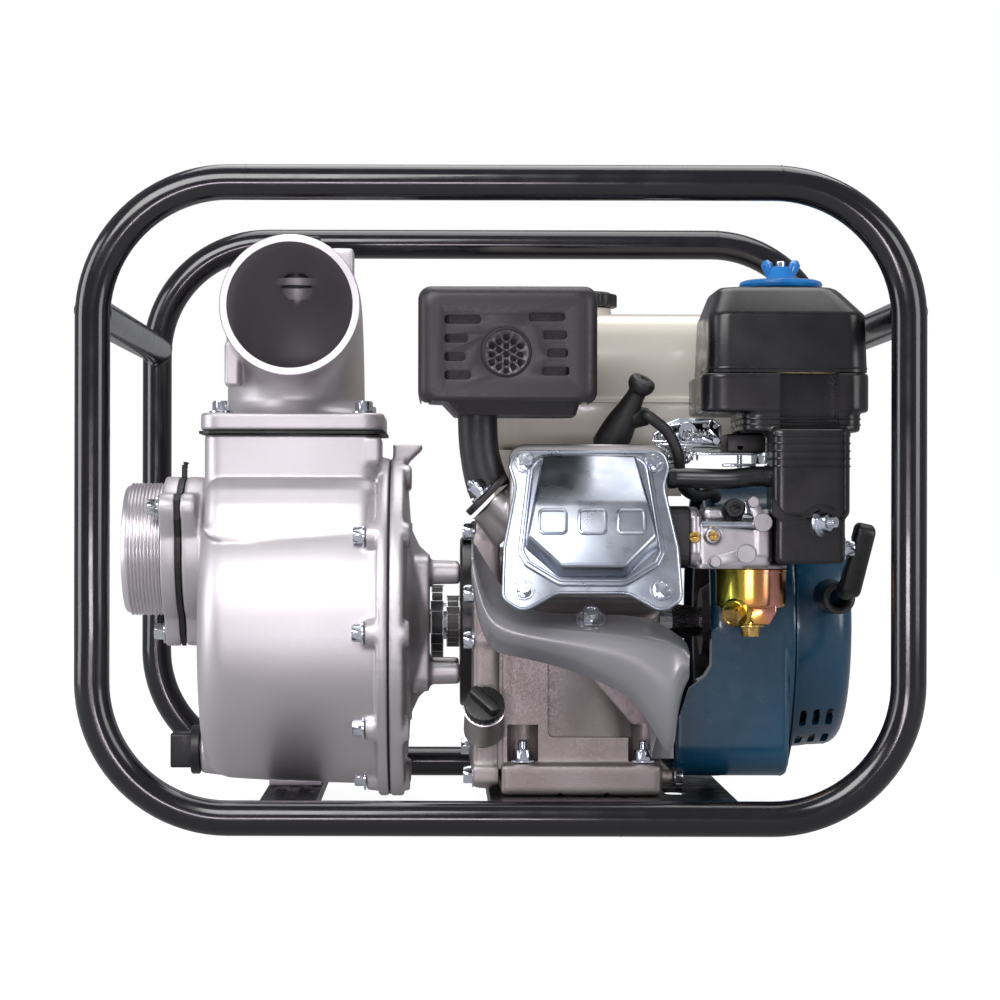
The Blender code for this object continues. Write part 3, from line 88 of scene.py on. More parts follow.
def make_studio():
    world = bpy.data.worlds.new("studio")
    bpy.context.scene.world = world
    world.use_nodes = True
    tree = world.node_tree
    tree.nodes.clear()
    seen = tree.nodes.new("ShaderNodeBackground")
    seen.inputs["Color"].default_value = (1, 1, 1, 1)
    seen.inputs["Strength"].default_value = 1.0
    soft = tree.nodes.new("ShaderNodeBackground")
    soft.inputs["Color"].default_value = (0.93, 0.94, 1.0, 1)
    soft.inputs["Strength"].default_value = 0.33
    path = tree.nodes.new("ShaderNodeLightPath")
    mix = tree.nodes.new("ShaderNodeMixShader")
    out = tree.nodes.new("ShaderNodeOutputWorld")
    tree.links.new(path.outputs["Is Camera Ray"], mix.inputs[0])
    tree.links.new(soft.outputs[0], mix.inputs[1])
    tree.links.new(seen.outputs[0], mix.inputs[2])
    tree.links.new(mix.outputs[0], out.inputs[0])
    area_light("key", (-0.55, -1.25, 1.15), (0, 0, 0.18), (1.1, 0.7), 21)
    area_light("fill", (1.15, -1.0, 0.55), (0, 0, 0.18), (0.6, 1.0), 8)
    area_light("left_strip", (-1.25, -0.35, 0.45), (0, 0, 0.18), (0.5, 1.0), 8, (0.96, 0.96, 1.0))
    area_light("top", (0.1, 0.25, 1.35), (0, 0, 0.2), (1.2, 0.9), 11)
    area_light("front_low", (-0.25, -1.9, 0.10), (-0.05, 0, 0.25), (0.7, 0.12), 6, (1.0, 0.90, 1.0))
    view = bpy.context.scene.view_settings
    view.view_transform = "Standard"
    view.look = "None"


def make_floor():
    bm = bmesh.new()
    bmesh.ops.create_grid(bm, x_segments=1, y_segments=1, size=6.0)
    mesh = bpy.data.meshes.new("floor")
    bm.to_mesh(mesh)
    bm.free()
    floor = add("floor", mesh)
    floor.location.z = -0.0004
    mat = bpy.data.materials.new("floor")
    mat.use_nodes = True
    tree = mat.node_tree
    tree.nodes.clear()
    glow = tree.nodes.new("ShaderNodeEmission")
    glow.inputs["Color"].default_value = (1, 1, 1, 1)
    seen = tree.nodes.new("ShaderNodeLightPath")
    strength = tree.nodes.new("ShaderNodeMapRange")
    strength.inputs["To Min"].default_value = 0.22
    strength.inputs["To Max"].default_value = 0.95
    tree.links.new(seen.outputs["Is Camera Ray"], strength.inputs["Value"])
    tree.links.new(strength.outputs["Result"], glow.inputs["Strength"])
    diffuse = tree.nodes.new("ShaderNodeBsdfDiffuse")
    diffuse.inputs["Color"].default_value = (0.22, 0.22, 0.23, 1)
    both = tree.nodes.new("ShaderNodeAddShader")
    out = tree.nodes.new("ShaderNodeOutputMaterial")
    tree.links.new(glow.outputs[0], both.inputs[0])
    tree.links.new(diffuse.outputs[0], both.inputs[1])
    tree.links.new(both.outputs[0], out.inputs[0])
    mesh.materials.append(mat)


# Materials
class Surface:
    """A Principled material, with helpers that add grain, mottling and roughness changes to it."""

    def __init__(self, name, colour, roughness, metallic=0.0, coat=0.0, coat_roughness=0.1):
        self.name = name
        self.mat = bpy.data.materials.new(name)
        self.mat.use_nodes = True
        self.tree = self.mat.node_tree
        self.shader = self.tree.nodes["Principled BSDF"]
        self.shader.inputs["Base Color"].default_value = (*colour, 1)
        self.shader.inputs["Roughness"].default_value = roughness
        self.shader.inputs["Metallic"].default_value = metallic
        self.shader.inputs["Coat Weight"].default_value = coat
        self.shader.inputs["Coat Roughness"].default_value = coat_roughness
        self.where = self.tree.nodes.new("ShaderNodeTexCoord").outputs["Object"]
        self.height = None

    def noise(self, scale, detail=3.0, stretch=None):
        source = self.where
        if stretch:
            mapping = self.tree.nodes.new("ShaderNodeMapping")
            mapping.inputs["Scale"].default_value = stretch
            self.tree.links.new(source, mapping.inputs["Vector"])
            source = mapping.outputs["Vector"]
        texture = self.tree.nodes.new("ShaderNodeTexNoise")
        texture.inputs["Scale"].default_value = scale
        texture.inputs["Detail"].default_value = detail
        self.tree.links.new(source, texture.inputs["Vector"])
        return texture.outputs["Fac"]

    def ranged(self, fac, low, high, from_low=0.3, from_high=0.7):
        node = self.tree.nodes.new("ShaderNodeMapRange")
        node.inputs["From Min"].default_value = from_low
        node.inputs["From Max"].default_value = from_high
        node.inputs["To Min"].default_value = low
        node.inputs["To Max"].default_value = high
        self.tree.links.new(fac, node.inputs["Value"])
        return node.outputs["Result"]

    def mottle(self, other, scale, detail=3.0, stretch=None, low=0.35, high=0.65):
        """Mixes the colour toward another one in soft patches."""
        socket = self.shader.inputs["Base Color"]
        mix = self.tree.nodes.new("ShaderNodeMix")
        mix.data_type = "RGBA"
        mix.inputs["A"].default_value = socket.default_value
        if socket.is_linked:
            self.tree.links.new(socket.links[0].from_socket, mix.inputs["A"])
        mix.inputs["B"].default_value = (*other, 1)
        fac = self.ranged(self.noise(scale, detail, stretch), 0, 1, low, high)
        self.tree.links.new(fac, mix.inputs["Factor"])
        self.tree.links.new(mix.outputs["Result"], socket)
        return self

    def rough(self, low, high, scale, detail=3.0, stretch=None):
        fac = self.ranged(self.noise(scale, detail, stretch), low, high)
        self.tree.links.new(fac, self.shader.inputs["Roughness"])
        return self

    def bump(self, fac, strength, distance):
        node = self.tree.nodes.new("ShaderNodeBump")
        node.inputs["Strength"].default_value = strength
        node.inputs["Distance"].default_value = distance
        self.tree.links.new(fac, node.inputs["Height"])
        if self.height:
            self.tree.links.new(self.height, node.inputs["Normal"])
        self.height = node.outputs["Normal"]
        self.tree.links.new(self.height, self.shader.inputs["Normal"])
        return self

    def grain(self, scale, strength, distance=0.0002, detail=2.0, stretch=None):
        return self.bump(self.noise(scale, detail, stretch), strength, distance)


def make_materials():
    made = {}

    def keep(surface):
        made[surface.name] = surface.mat
        return surface

    keep(Surface("gloss_black", (0.0035, 0.003, 0.005), 0.16, coat=0.25, coat_roughness=0.05)).rough(
        0.13, 0.22, 60
    ).grain(240, 0.05, 0.0004)
    keep(Surface("black_sheet", (0.006, 0.006, 0.007), 0.3)).rough(0.24, 0.4, 80).grain(400, 0.08)
    keep(Surface("cast_aluminium", (0.58, 0.55, 0.565), 0.46, 0.78)).mottle((0.51, 0.485, 0.50), 9).rough(
        0.40, 0.54, 1500
    ).grain(2400, 0.22, 0.00015).grain(420, 0.05, 0.0004)
    keep(Surface("machined_aluminium", (0.74, 0.71, 0.73), 0.32, 0.95)).rough(0.28, 0.36, 40).grain(
        900, 0.02, 0.0001
    )
    keep(Surface("engine_casting", (0.36, 0.325, 0.32), 0.45, 0.85)).mottle((0.27, 0.235, 0.23), 16).rough(
        0.38, 0.56, 600
    ).grain(1100, 0.35, 0.0003)
    keep(Surface("head_casting", (0.42, 0.40, 0.40), 0.42, 0.88)).mottle((0.30, 0.28, 0.28), 20).grain(
        1000, 0.3, 0.0003
    )
    keep(Surface("bright_zinc", (0.70, 0.73, 0.78), 0.16, 1.0)).mottle((0.56, 0.60, 0.68), 120).rough(
        0.12, 0.22, 300
    )
    keep(Surface("zinc_sheet", (0.40, 0.42, 0.47), 0.30, 1.0)).mottle((0.33, 0.36, 0.42), 26).rough(
        0.25, 0.36, 90
    ).grain(500, 0.04)
    keep(Surface("steel", (0.55, 0.55, 0.57), 0.25, 1.0)).rough(0.18, 0.32, 200, stretch=(1, 8, 8))
    keep(Surface("black_rubber", (0.007, 0.007, 0.007), 0.5)).rough(0.42, 0.6, 200).grain(700, 0.1)
    keep(Surface("black_plastic", (0.006, 0.006, 0.0065), 0.38)).rough(0.32, 0.46, 300).grain(
        900, 0.12, 0.0001
    )
    keep(Surface("cleaner_black", (0.006, 0.0055, 0.0065), 0.27)).rough(0.22, 0.34, 40).grain(
        1400, 0.08, 0.0001
    )
    keep(Surface("muffler_black", (0.016, 0.014, 0.017), 0.40, 0.1)).mottle((0.024, 0.020, 0.024), 12).rough(
        0.36, 0.5, 400
    ).grain(1500, 0.18, 0.00012)
    keep(Surface("muffler_dark", (0.014, 0.013, 0.015), 0.42, 0.2)).rough(0.36, 0.5, 300).grain(
        1200, 0.15, 0.00012
    )
    keep(Surface("steel_dark", (0.10, 0.095, 0.10), 0.45, 0.7)).rough(0.38, 0.55, 500).grain(
        1500, 0.2, 0.0001
    )
    keep(Surface("dark_inside", (0.006, 0.006, 0.006), 0.7)).grain(500, 0.2)
    keep(Surface("cream_paint", (0.70, 0.66, 0.585), 0.22, coat=0.4, coat_roughness=0.08)).mottle(
        (0.66, 0.62, 0.545), 8
    ).grain(160, 0.03, 0.0004)
    keep(Surface("grey_paint", (0.25, 0.25, 0.265), 0.26, 0.35, coat=0.3)).mottle(
        (0.21, 0.21, 0.225), 14
    ).grain(300, 0.04)
    keep(Surface("fan_blue", (0.003, 0.040, 0.082), 0.24, coat=0.3, coat_roughness=0.12)).mottle(
        (0.004, 0.050, 0.098), 18
    ).rough(0.2, 0.3, 120).grain(350, 0.05, 0.0003)
    keep(Surface("blue_plastic", (0.006, 0.13, 0.42), 0.22, coat=0.3)).mottle(
        (0.01, 0.18, 0.50), 90
    ).grain(500, 0.05)
    keep(Surface("carb_casting", (0.46, 0.45, 0.47), 0.34, 0.92)).mottle(
        (0.36, 0.34, 0.36), 60
    ).grain(1600, 0.3)
    keep(Surface("cast_iron", (0.16, 0.155, 0.15), 0.6, 0.7)).mottle((0.11, 0.10, 0.10), 40).grain(
        900, 0.4, 0.0003
    )
    keep(Surface("ceramic", (0.78, 0.78, 0.75), 0.15)).mottle((0.72, 0.72, 0.70), 60).grain(300, 0.02)
    keep(Surface("filter_foam", (0.62, 0.56, 0.40), 0.9)).mottle((0.5, 0.44, 0.3), 400).grain(
        1200, 0.6, 0.0006
    )
    keep(Surface("brass", (0.70, 0.48, 0.16), 0.25, 1.0)).mottle((0.6, 0.38, 0.12), 200).rough(0.2, 0.34, 300)
    made["yellow_zinc"] = yellow_zinc()
    return made


def yellow_zinc():
    """Chromate over zinc: gold that drifts to green and pink around the piece."""
    surface = Surface("yellow_zinc", (0.78, 0.55, 0.14), 0.19, 1.0)
    tree = surface.tree
    ramp = tree.nodes.new("ShaderNodeValToRGB")
    colours = (
        (0.0, (0.26, 0.24, 0.04, 1)), (0.18, (0.46, 0.50, 0.08, 1)), (0.40, (0.68, 0.48, 0.07, 1)),
        (0.56, (0.70, 0.32, 0.10, 1)), (0.74, (0.62, 0.28, 0.26, 1)), (0.88, (0.42, 0.16, 0.05, 1)),
        (1.0, (0.76, 0.60, 0.14, 1)),
    )
    ramp.color_ramp.elements[0].color = colours[0][1]
    ramp.color_ramp.elements[1].color = colours[-1][1]
    for place, colour in colours[1:-1]:
        ramp.color_ramp.elements.new(place).color = colour
    apart = tree.nodes.new("ShaderNodeSeparateXYZ")
    tree.links.new(surface.where, apart.inputs[0])
    across = surface.ranged(apart.outputs["X"], 0, 0.8, 0.1335, 0.1765)
    drift = surface.ranged(surface.noise(60, 1.5), 0, 0.2)
    total = tree.nodes.new("ShaderNodeMath")
    tree.links.new(across, total.inputs[0])
    tree.links.new(drift, total.inputs[1])
    tree.links.new(total.outputs[0], ramp.inputs["Fac"])
    tree.links.new(ramp.outputs["Color"], surface.shader.inputs["Base Color"])
    surface.grain(420, 0.06)
    return surface.mat


# Modelling helpers
def from_bmesh(name, bm, smooth=True):
    bmesh.ops.recalc_face_normals(bm, faces=bm.faces)
    mesh = bpy.data.meshes.new(name)
    bm.to_mesh(mesh)
    bm.free()
    obj = add(name, mesh)
    if smooth:
        mesh.shade_smooth()
        mesh.set_sharp_from_angle(angle=math.radians(38))
    return obj


def frame_along(origin, direction, across=None):
    """A place whose Z runs along a direction; its X lies nearest to `across`."""
    up = Vector(direction).normalized()
    side = Vector(across) if across is not None else (Z_AXIS if abs(up.z) < 0.9 else X_AXIS)
    side = (side - up * side.dot(up)).normalized()
    turn = Matrix((side, up.cross(side), up)).transposed()
    return Matrix.Translation(Vector(origin)) @ turn.to_4x4()


def skin(name, rings, caps=True, smooth=True):
    """A surface over rings of points with the same count."""
    bm = bmesh.new()
    made = [[bm.verts.new(point) for point in ring] for ring in rings]
    for lower, upper in zip(made, made[1:]):
        for index in range(len(lower)):
            following = (index + 1) % len(lower)
            bm.faces.new((lower[index], lower[following], upper[following], upper[index]))
    if caps:
        bm.faces.new(made[0])
        bm.faces.new(made[-1])
    return from_bmesh(name, bm, smooth)


def lathe(name, profile, origin, direction=X_AXIS, steps=64, closed=False, across=None):
    """A turned piece; its profile is a list of (place along the axis, radius)."""
    place = frame_along(origin, direction, across)
    bm = bmesh.new()
    rings = []
    for along, radius in profile:
        if radius < 1e-6:
            rings.append([bm.verts.new(place @ Vector((0, 0, along)))])
            continue
        ring = []
        for step in range(steps):
            turn = math.tau * step / steps
            spot = Vector((radius * math.cos(turn), radius * math.sin(turn), along))
            ring.append(bm.verts.new(place @ spot))
        rings.append(ring)
    pairs = list(zip(rings, rings[1:]))
    if closed:
        pairs.append((rings[-1], rings[0]))
    for lower, upper in pairs:
        for step in range(steps):
            following = (step + 1) % steps
            corners = [lower[step % len(lower)], lower[following % len(lower)]]
            corners += [upper[following % len(upper)], upper[step % len(upper)]]
            if len(lower) == 1:
                corners = [lower[0], upper[following], upper[step]]
            if len(upper) == 1:
                corners = [lower[step], lower[following], upper[0]]
            bm.faces.new(corners)
    return from_bmesh(name, bm)


def arc(centre_a, centre_b, radius, start, end, steps=8):
    """Points on an arc, with its angles in degrees."""
    points = []
    for step in range(steps + 1):
        turn = math.radians(start + (end - start) * step / steps)
        points.append((centre_a + radius * math.cos(turn), centre_b + radius * math.sin(turn)))
    return points


def rounded(corners, radius, steps=6):
    """A closed outline with an arc at each corner; radius is one value or one for each corner."""
    radii = radius if isinstance(radius, (list, tuple)) else [radius] * len(corners)
    outline = []
    for index, corner in enumerate(corners):
        here = Vector(corner)
        before = (Vector(corners[index - 1]) - here).normalized()
        after = (Vector(corners[(index + 1) % len(corners)]) - here).normalized()
        half = math.acos(max(-1.0, min(1.0, before.dot(after)))) / 2
        centre = here + (before + after).normalized() * radii[index] / math.sin(half)
        start = here + before * radii[index] / math.tan(half) - centre
        end = here + after * radii[index] / math.tan(half) - centre
        first = math.atan2(start.y, start.x)
        sweep = math.remainder(math.atan2(end.y, end.x) - first, math.tau)
        for step in range(steps + 1):
            turn = first + sweep * step / steps
            outline.append(
                (centre.x + radii[index] * math.cos(turn), centre.y + radii[index] * math.sin(turn))
            )
    return outline


def rectangle(low_a, high_a, low_b, high_b):
    return [(low_a, low_b), (high_a, low_b), (high_a, high_b), (low_a, high_b)]


def prism(name, outline, place, low, high, edge=0.0, edge_steps=3, smooth=True):
    """An outline in the local XY plane of `place`, from low to high along its Z, with rounded rims."""
    centre = sum((Vector(point) for point in outline), Vector((0, 0))) / len(outline)

    def inset(amount):
        moved = []
        count = len(outline)
        for index, point in enumerate(outline):
            here = Vector(point)
            run = Vector(outline[(index + 1) % count]) - Vector(outline[index - 1])
            side = Vector((-run.y, run.x)).normalized() if run.length > 0 else Vector((0, 0))
            if side.dot(centre - here) < 0 and signed_area(outline) < 0:
                side = -side
            if signed_area(outline) < 0:
                side = Vector((run.y, -run.x)).normalized()
            moved.append(here + side * amount)
        return moved

    levels = [(0.0, low), (0.0, high)]
    if edge:
        levels = []
        for step in range(edge_steps + 1):
            turn = math.pi / 2 * step / edge_steps
            levels.append((edge * (1 - math.sin(turn)), low + edge * (1 - math.cos(turn))))
        levels += [(amount, high + low - height) for amount, height in reversed(levels)]
    rings = [[place @ Vector((p.x, p.y, height)) for p in inset(amount)] for amount, height in levels]
    return skin(name, rings, smooth=smooth)


def signed_area(outline):
    total = 0.0
    for index, (a, b) in enumerate(outline):
        c, d = outline[index - 1]
        total += c * b - a * d
    return total / 2


PLANE = {
    "X": Matrix(((0, 0, 1, 0), (1, 0, 0, 0), (0, 1, 0, 0), (0, 0, 0, 1))),
    "Y": Matrix(((1, 0, 0, 0), (0, 0, 1, 0), (0, 1, 0, 0), (0, 0, 0, 1))),
    "Z": Matrix.Identity(4),
}


def slab(name, outline, axis, low, high, edge=0.0005, edge_steps=2):
    """An outline in the two other world axes, from low to high along `axis`."""
    return prism(name, outline, PLANE[axis], low, high, edge, edge_steps)


def block(name, low, high, edge=0.001, steps=3):
    low, high = Vector(low), Vector(high)
    bm = bmesh.new()
    bmesh.ops.create_cube(bm, size=1.0)
    bmesh.ops.scale(bm, vec=high - low, verts=bm.verts)
    bmesh.ops.translate(bm, vec=(low + high) / 2, verts=bm.verts)
    if edge:
        bmesh.ops.bevel(bm, geom=bm.edges[:], offset=edge, segments=steps, profile=0.5, affect="EDGES")
    return from_bmesh(name, bm)


def rod(name, start, end, radius, end_radius=None, steps=32, edge=0.0004):
    start, end = Vector(start), Vector(end)
    length = (end - start).length
    last = radius if end_radius is None else end_radius
    trim = min(edge, length / 3, radius / 2, last / 2)
    profile = [
        (0, 0), (0, radius - trim), (trim, radius), (length - trim, last), (length, last - trim),
        (length, 0)
    ]
    return lathe(name, profile, start, end - start, steps)


def smooth_path(points, per_span=8):
    """A Catmull-Rom curve through the points."""
    points = [Vector(point) for point in points]
    ends = [points[0] * 2 - points[1], *points, points[-1] * 2 - points[-2]]
    path = []
    for index in range(1, len(ends) - 2):
        a, b, c, d = ends[index - 1 : index + 3]
        for step in range(per_span):
            t = step / per_span
            bend = (2 * a - 5 * b + 4 * c - d) * t**2
            twist = (3 * b - a - 3 * c + d) * t**3
            path.append(0.5 * (2 * b + (c - a) * t + bend + twist))
    path.append(points[-1])
    return path


def sweep(name, path, radius, sides=20, closed=False, radii=None, caps=True):
    """A tube along a path, with its rings kept square to it and free of twist."""
    path = [Vector(point) for point in path]
    count = len(path)
    side = None
    rings = []
    for index, point in enumerate(path):
        before = path[index - 1] if (index or closed) else point
        after = path[(index + 1) % count] if (index < count - 1 or closed) else point
        run = (after - before).normalized()
        if side is None:
            side = run.orthogonal()
        side = (side - run * side.dot(run)).normalized()
        across = run.cross(side)
        size = radii[index] if radii else radius
        ring = []
        for step in range(sides):
            turn = math.tau * step / sides
            ring.append(point + (side * math.cos(turn) + across * math.sin(turn)) * size)
        rings.append(ring)
    if closed:
        rings.append(rings[0])
        obj = skin(name, rings, caps=False)
        bm = bmesh.new()
        bm.from_mesh(obj.data)
        bmesh.ops.remove_doubles(bm, verts=bm.verts, dist=1e-6)
        bm.to_mesh(obj.data)
        bm.free()
        return obj
    return skin(name, rings, caps=caps)


def applied(obj):
    """Replaces an object's mesh by its evaluated one, and clears its modifiers."""
    depsgraph = bpy.context.evaluated_depsgraph_get()
    mesh = bpy.data.meshes.new_from_object(obj.evaluated_get(depsgraph))
    obj.modifiers.clear()
    obj.data = mesh
    return obj


def merged(name, objects):
    """Several meshes as one object, each keeping its material."""
    bm = bmesh.new()
    materials = []
    for obj in objects:
        start = len(bm.faces)
        obj.data.transform(obj.matrix_world)
        bm.from_mesh(obj.data)
        bm.faces.ensure_lookup_table()
        own = list(obj.data.materials)
        for face in bm.faces[start:]:
            mat = own[face.material_index] if own else None
            if mat not in materials:
                materials.append(mat)
            face.material_index = materials.index(mat)
        bpy.data.objects.remove(obj)
    mesh = bpy.data.meshes.new(name)
    bm.to_mesh(mesh)
    bm.free()
    for mat in materials:
        mesh.materials.append(mat)
    return add(name, mesh)


def blended(name, solids, voxel=0.0014, passes=6, cuts=()):
    """Closed solids run together as a casting, with soft fillets, and then cut by others."""
    body = merged(name, solids)
    remesh = body.modifiers.new("Remesh", "REMESH")
    remesh.mode = "VOXEL"
    remesh.voxel_size = voxel
    relax = body.modifiers.new("Relax", "SMOOTH")
    relax.factor = 0.5
    relax.iterations = passes
    applied(body)
    carve(body, cuts)
    body.data.shade_smooth()
    body.data.set_sharp_from_angle(angle=math.radians(50))
    return body


def carve(body, tools, operation="DIFFERENCE"):
    for tool in tools:
        modifier = body.modifiers.new("Cut", "BOOLEAN")
        modifier.operation = operation
        modifier.object = tool
        applied(body)
        bpy.data.objects.remove(tool)
    return body


def coat(obj, mat):
    obj.data.materials.clear()
    obj.data.materials.append(paint[mat])
    return obj


def show(obj, mat, body="chassis", replaces=()):
    """Gives a piece its material and its body, and hides the CAD nodes it stands for."""
    if mat:
        coat(obj, mat)
    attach(obj, body)
    if replaces:
        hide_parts(*replaces)
    return obj


def repaint(node, mat):
    obj = nodes[node]
    for index in range(max(1, len(obj.material_slots))):
        if index < len(obj.material_slots):
            obj.material_slots[index].material = paint[mat]
        else:
            obj.data.materials.append(paint[mat])


# Fixings
def hex_bolt(
    place, direction, across_flats, washer=True, height=None, stud=0.0, spring=False, mat="bright_zinc"
):
    """A chamfered hex head on a flat washer; a stud and nut also shows a little of its thread."""
    place, direction = Vector(place), Vector(direction).normalized()
    height = height or across_flats * 0.62
    radius = across_flats / math.sqrt(3)
    level = 0.0
    made = []
    if washer:
        thick = across_flats * 0.13
        outer = across_flats * 0.78
        ring = [
            (0, across_flats * 0.3), (0, outer - 0.0003), (0.0003, outer), (thick, outer),
            (thick, across_flats * 0.3)
        ]
        made.append(lathe("washer", ring, place, direction, 32))
        level += thick
    if spring:
        thick = across_flats * 0.16
        outer = across_flats * 0.72
        made.append(
            lathe(
                "washer", [(0, 0), (0, outer), (thick, outer), (thick, 0)], place + direction * level,
                direction, 24
            )
        )
        level += thick
    foot = frame_along(place + direction * level, direction, Vector((0.31, 0.23, 0.92)))
    rings = []
    for rise, share in (
        (0, 1.0), (height * 0.82, 1.0), (height, 0.87), (height, 0.55), (height - 0.0004, 0.5)
    ):
        ring = []
        for step in range(24):
            turn = math.tau * step / 24
            flat = math.cos(math.pi / 6) / math.cos(math.remainder(turn, math.pi / 3))
            reach = min(flat, share) if share < 1 else flat
            ring.append(
                foot @ Vector((radius * reach * math.cos(turn), radius * reach * math.sin(turn), rise))
            )
        rings.append(ring)
    made.append(skin("head", rings))
    if stud:
        bolt_r = across_flats * 0.30
        top = level + height
        profile = [(0, bolt_r)]
        pitch = 0.0009
        for turn in range(int(stud / pitch)):
            profile += [(turn * pitch + pitch / 2, bolt_r * 0.86), ((turn + 1) * pitch, bolt_r)]
        profile += [(stud + 0.0004, bolt_r * 0.7), (stud + 0.0004, 0)]
        made.append(lathe("stud", profile, place + direction * (top - 0.0005), direction, 20))
    for part in made:
        coat(part, mat)
    return made


def bolts(name, places, body="chassis"):
    """One piece holding several fixings; each place is a dict of hex_bolt's arguments."""
    made = []
    for spec in places:
        made += hex_bolt(**spec)
    return show(merged(name, made), None, body)


# Roll cage: smooth bent tubes with seams and weld beads
CORNER_R = 0.080


def hoop(node):
    low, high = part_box(node)
    radius = (high.y - low.y) / 2
    corners = rectangle(low.x + radius, high.x - radius, low.z + radius, high.z - radius)
    path = []
    outline = rounded(corners, CORNER_R, steps=22)
    for index, (x, z) in enumerate(outline):
        here = Vector((x, (low.y + high.y) / 2, z))
        following = outline[(index + 1) % len(outline)]
        there = Vector((following[0], here.y, following[1]))
        spans = max(1, round((there - here).length / 0.03))
        path += [here.lerp(there, step / spans) for step in range(spans)]
    tube = sweep(node + "_tube", path, radius - 0.0002, sides=40, closed=True)
    seams = []
    middle_y = (low.y + high.y) / 2
    for x, z in ((0.071, low.z + radius), (-0.150, high.z - radius), (0.165, high.z - radius)):
        at = Vector((x, middle_y, z))
        ring = [
            (-0.0007, radius - 0.0006), (-0.0004, radius - 0.0001), (0.0004, radius - 0.0001),
            (0.0007, radius - 0.0006)
        ]
        seams.append(lathe("seam", ring, at, X_AXIS, 40, closed=True))
    return show(
        merged(node + "_surface", [tube, *seams]), "gloss_black", "chassis", [node]
    )


def cross_tube(node):
    low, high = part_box(node)
    radius = (high.z - low.z) / 2
    x, z = (low.x + high.x) / 2, (low.z + high.z) / 2
    path = [Vector((x, low.y + (high.y - low.y) * step / 24, z)) for step in range(25)]
    tube = sweep(node + "_tube", path, radius - 0.0001, sides=40)
    beads = []
    for side in (-1, 1):
        bead_path = []
        for step in range(36):
            turn = math.tau * step / 36
            saddle = math.sqrt(max(0.0, radius**2 - ((radius + 0.0008) * math.cos(turn)) ** 2))
            y = (HOOP_Y - saddle - 0.0005) * side
            bead_path.append(
                Vector((x + (radius - 0.0013) * math.cos(turn), y, z + (radius + 0.0006) * math.sin(turn)))
            )
        radii = [0.0015 + 0.0003 * math.sin(7 * math.tau * step / 36) for step in range(36)]
        radii.append(radii[0])
        beads.append(sweep("bead", bead_path, 0.0015, sides=8, closed=True, radii=radii))
    return show(
        merged(node + "_surface", [tube, *beads]), "gloss_black", "chassis", [node]
    )


def make_cage():
    hoop("hoop_front")
    hoop("hoop_rear")
    cross_tube("cross_tube_left")
    cross_tube("cross_tube_right")
    repaint("pump_channel", "black_sheet")
    repaint("engine_plate", "black_sheet")
    low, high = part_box("pump_channel")
    middle = (low.x + high.x) / 2
    ribs = []
    for side in (-1, 1):
        at = middle + side * 0.0075
        strip = rounded(rectangle(at - 0.0038, at + 0.0038, low.y + 0.004, high.y - 0.004), 0.003)
        ribs.append(slab("channel_rib", strip, "Z", high.z - 0.0006, high.z + 0.0003, 0.0002))
    show(merged("channel_ribs", ribs), "black_sheet", "chassis")


# Pump castings
PUMP_Y = CRANK.y
DRUM_Z = 0.112
FLANGE_Z = 0.115
SUCTION_Z = 0.166
PORT_BOLT_AT = 0.0547
HOOP_Y = 0.184
DRAIN_Z = 0.033
FLANGE_R = 0.1118


def drum_solid():
    low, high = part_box("pump_casing")
    left, right = -0.190, -0.0745
    profile = [(left, 0), (left, 0.070)]
    profile += [(x, r) for x, r in reversed(arc(left + 0.019, 0.0785, 0.019, 90, 180, 10))]
    profile += [(left + 0.050, 0.0993), (right - 0.006, 0.1010), (right, 0.1018), (right, 0)]
    return lathe("drum", profile, (0, PUMP_Y, DRUM_Z), X_AXIS, 128)


def flange_ring(left, right, radius, edge=0.0012):
    profile = [
        (left, 0), (left, radius - edge), (left + edge, radius), (right - edge, radius),
        (right, radius - edge), (right, 0)
    ]
    return lathe("flange", profile, (0, PUMP_Y, FLANGE_Z), X_AXIS, 128)


CASING_BOLTS = [math.radians(turn) for turn in (0, 36, 72, 108, 144, 180, 216, 250, 288, 324)]
RIM_R = 0.1035


def rim_place(x, turn, radius=RIM_R):
    return Vector((x, PUMP_Y + radius * math.cos(turn), FLANGE_Z + radius * math.sin(turn)))


def port_outline(disc=0.0480, lobe_at=0.0547, lobe_r=0.0095, steps=120):
    outline = []
    meets = math.atan2(lobe_r * math.sin(math.pi / 3), lobe_at + lobe_r / 2)
    for step in range(steps):
        turn = math.tau * step / steps
        off = abs(math.remainder(turn - math.pi / 6, math.tau / 3))
        if off < meets:
            edge = lobe_at * math.cos(off) + math.sqrt(max(0.0, lobe_r**2 - (lobe_at * math.sin(off)) ** 2))
        else:
            edge = (lobe_at / 2 + lobe_r) / math.cos(math.pi / 3 - off)
        reach = max(disc, edge)
        outline.append((PUMP_Y + reach * math.cos(turn), SUCTION_Z + reach * math.sin(turn)))
    return outline


# Section (Y, Z) of the shoulder that carries the drum's top up against the neck
SADDLE = (
    (-0.0560, 0.1730), (-0.0525, 0.1850), (-0.0480, 0.1960), (-0.0425, 0.2060), (-0.0370, 0.2120),
    (-0.0300, 0.2130),
    (-0.0050, 0.2100), (-0.0050, 0.1600),
)


